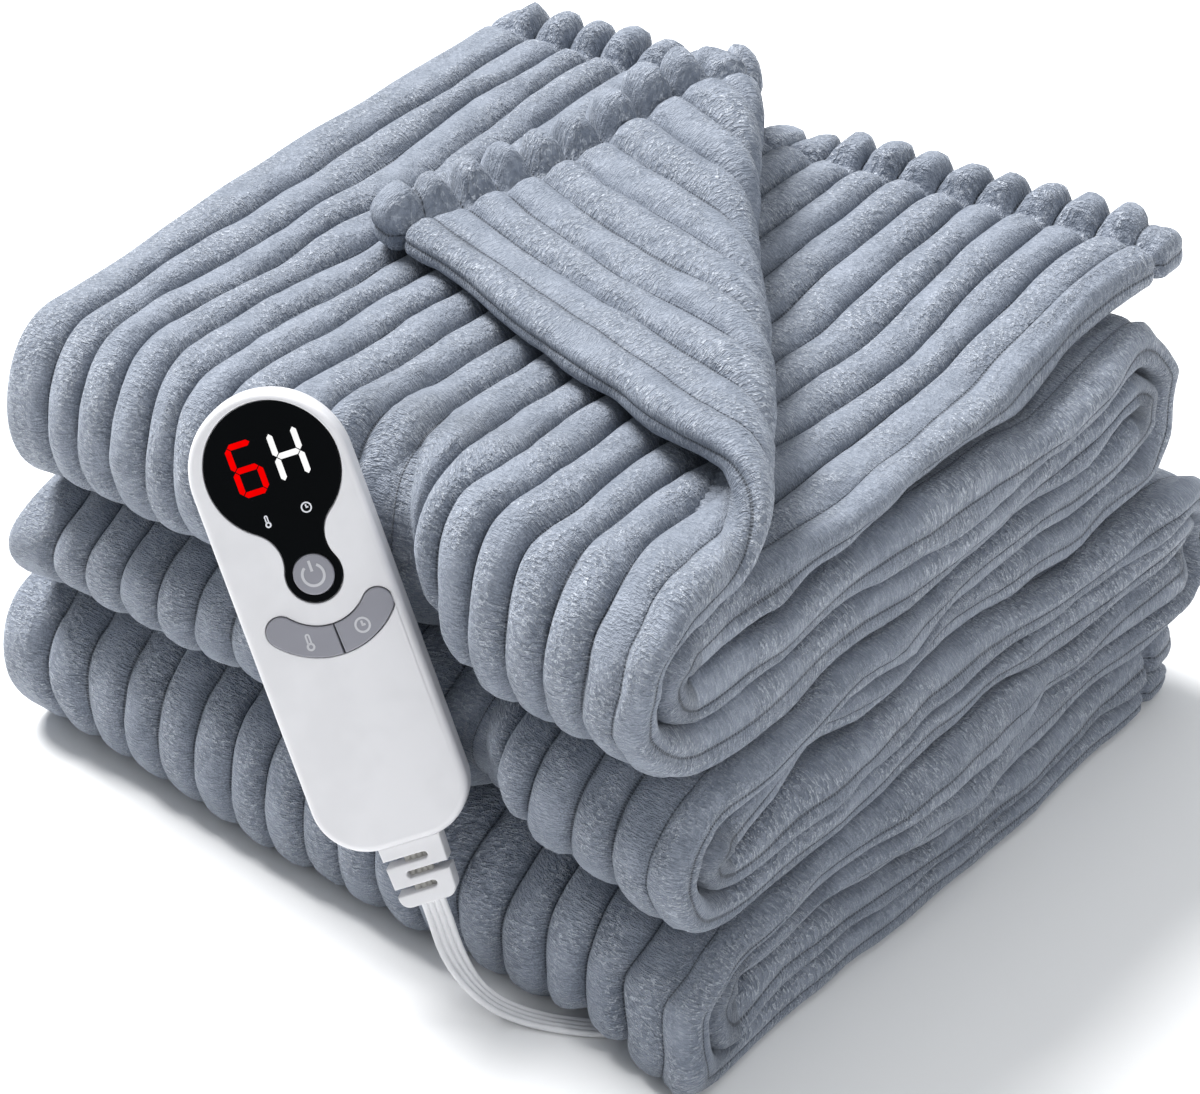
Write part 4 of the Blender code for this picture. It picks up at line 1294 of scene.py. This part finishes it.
# Name, colour, roughness, height of its grain and specular level
PLASTICS = (
    ("white_plastic", (0.74, 0.735, 0.755), 0.32, 0.00002, 0.5),
    ("white_cord", (0.76, 0.76, 0.78), 0.42, 0.00002, 0.5),
    ("dull_core", (0.46, 0.45, 0.42), 0.50, 0.00002, 0.5),
    ("black_gloss", (0.002, 0.0025, 0.003), 0.14, 0.00002, 0.08),
    ("grey_key", (0.26, 0.26, 0.295), 0.42, 0.00004, 0.5),
    ("key_sign", (0.54, 0.54, 0.57), 0.40, 0.00002, 0.5),
    ("pale_print", (0.75, 0.76, 0.80), 0.40, 0.00002, 0.5),
)
LIGHTS = (("red_light", (1.0, 0.0, 0.0), 1.0), ("white_light", (1.0, 1.0, 1.0), 1.1))


def make_looks():
    looks = {"plush": plush_material()}
    looks.update((row[0], plastic_material(*row)) for row in PLASTICS)
    looks.update((row[0], light_material(*row)) for row in LIGHTS)
    return looks


# --- scene

CAMERA_AT = (0.7837, -0.9698, 0.8619)
CAMERA_DOWN = 32.4
CAMERA_YAW = 38.9
CAMERA_LENS = 123.5
LIGHT_AIM = Vector((0, 0, 0.1))


def camera():
    data = bpy.data.cameras.new("camera")
    data.sensor_width = 36
    data.lens = CAMERA_LENS
    made = add_object("camera", data)
    made.location = CAMERA_AT
    made.rotation_euler = (math.radians(90 - CAMERA_DOWN), 0, math.radians(CAMERA_YAW))
    bpy.context.scene.camera = made


def area_light(name, place, size, power):
    data = bpy.data.lights.new(name, "AREA")
    data.shape = "DISK"
    data.size = size
    data.energy = power
    made = add_object(name, data)
    made.location = place
    made.rotation_euler = (LIGHT_AIM - Vector(place)).to_track_quat("-Z", "Y").to_euler()


def studio():
    world = bpy.data.worlds.new("studio")
    world.use_nodes = True
    background = world.node_tree.nodes["Background"]
    background.inputs["Color"].default_value = (0.90, 0.95, 1, 1)
    background.inputs["Strength"].default_value = 0.34
    bpy.context.scene.world = world
    bpy.context.scene.view_settings.view_transform = "Standard"
    area_light("key", (-2.5, 0.3, 3.3), 1.9, 340)
    area_light("above", (0.0, 0.8, 3.4), 3.5, 36)
    area_light("fill", (2.6, -0.8, 1.5), 2.0, 26)
    corners = [(-6, -6, 0), (6, -6, 0), (6, 6, 0), (-6, 6, 0)]
    floor = mesh_of("floor", corners, [(0, 1, 2, 3)])
    m = Nodes("floor")
    m.set(Base_Color=(0.93, 0.93, 0.93, 1), Roughness=0.8)
    floor.location.z = -0.0002
    floor.data.materials.append(m.material)


def main():
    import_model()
    camera()
    studio()
    looks = make_looks()
    controller(looks)
    cloth = throw_cloth()
    cloth.data.materials.append(looks["plush"])
    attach(cloth, "throw")
    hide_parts("blanket")


main()
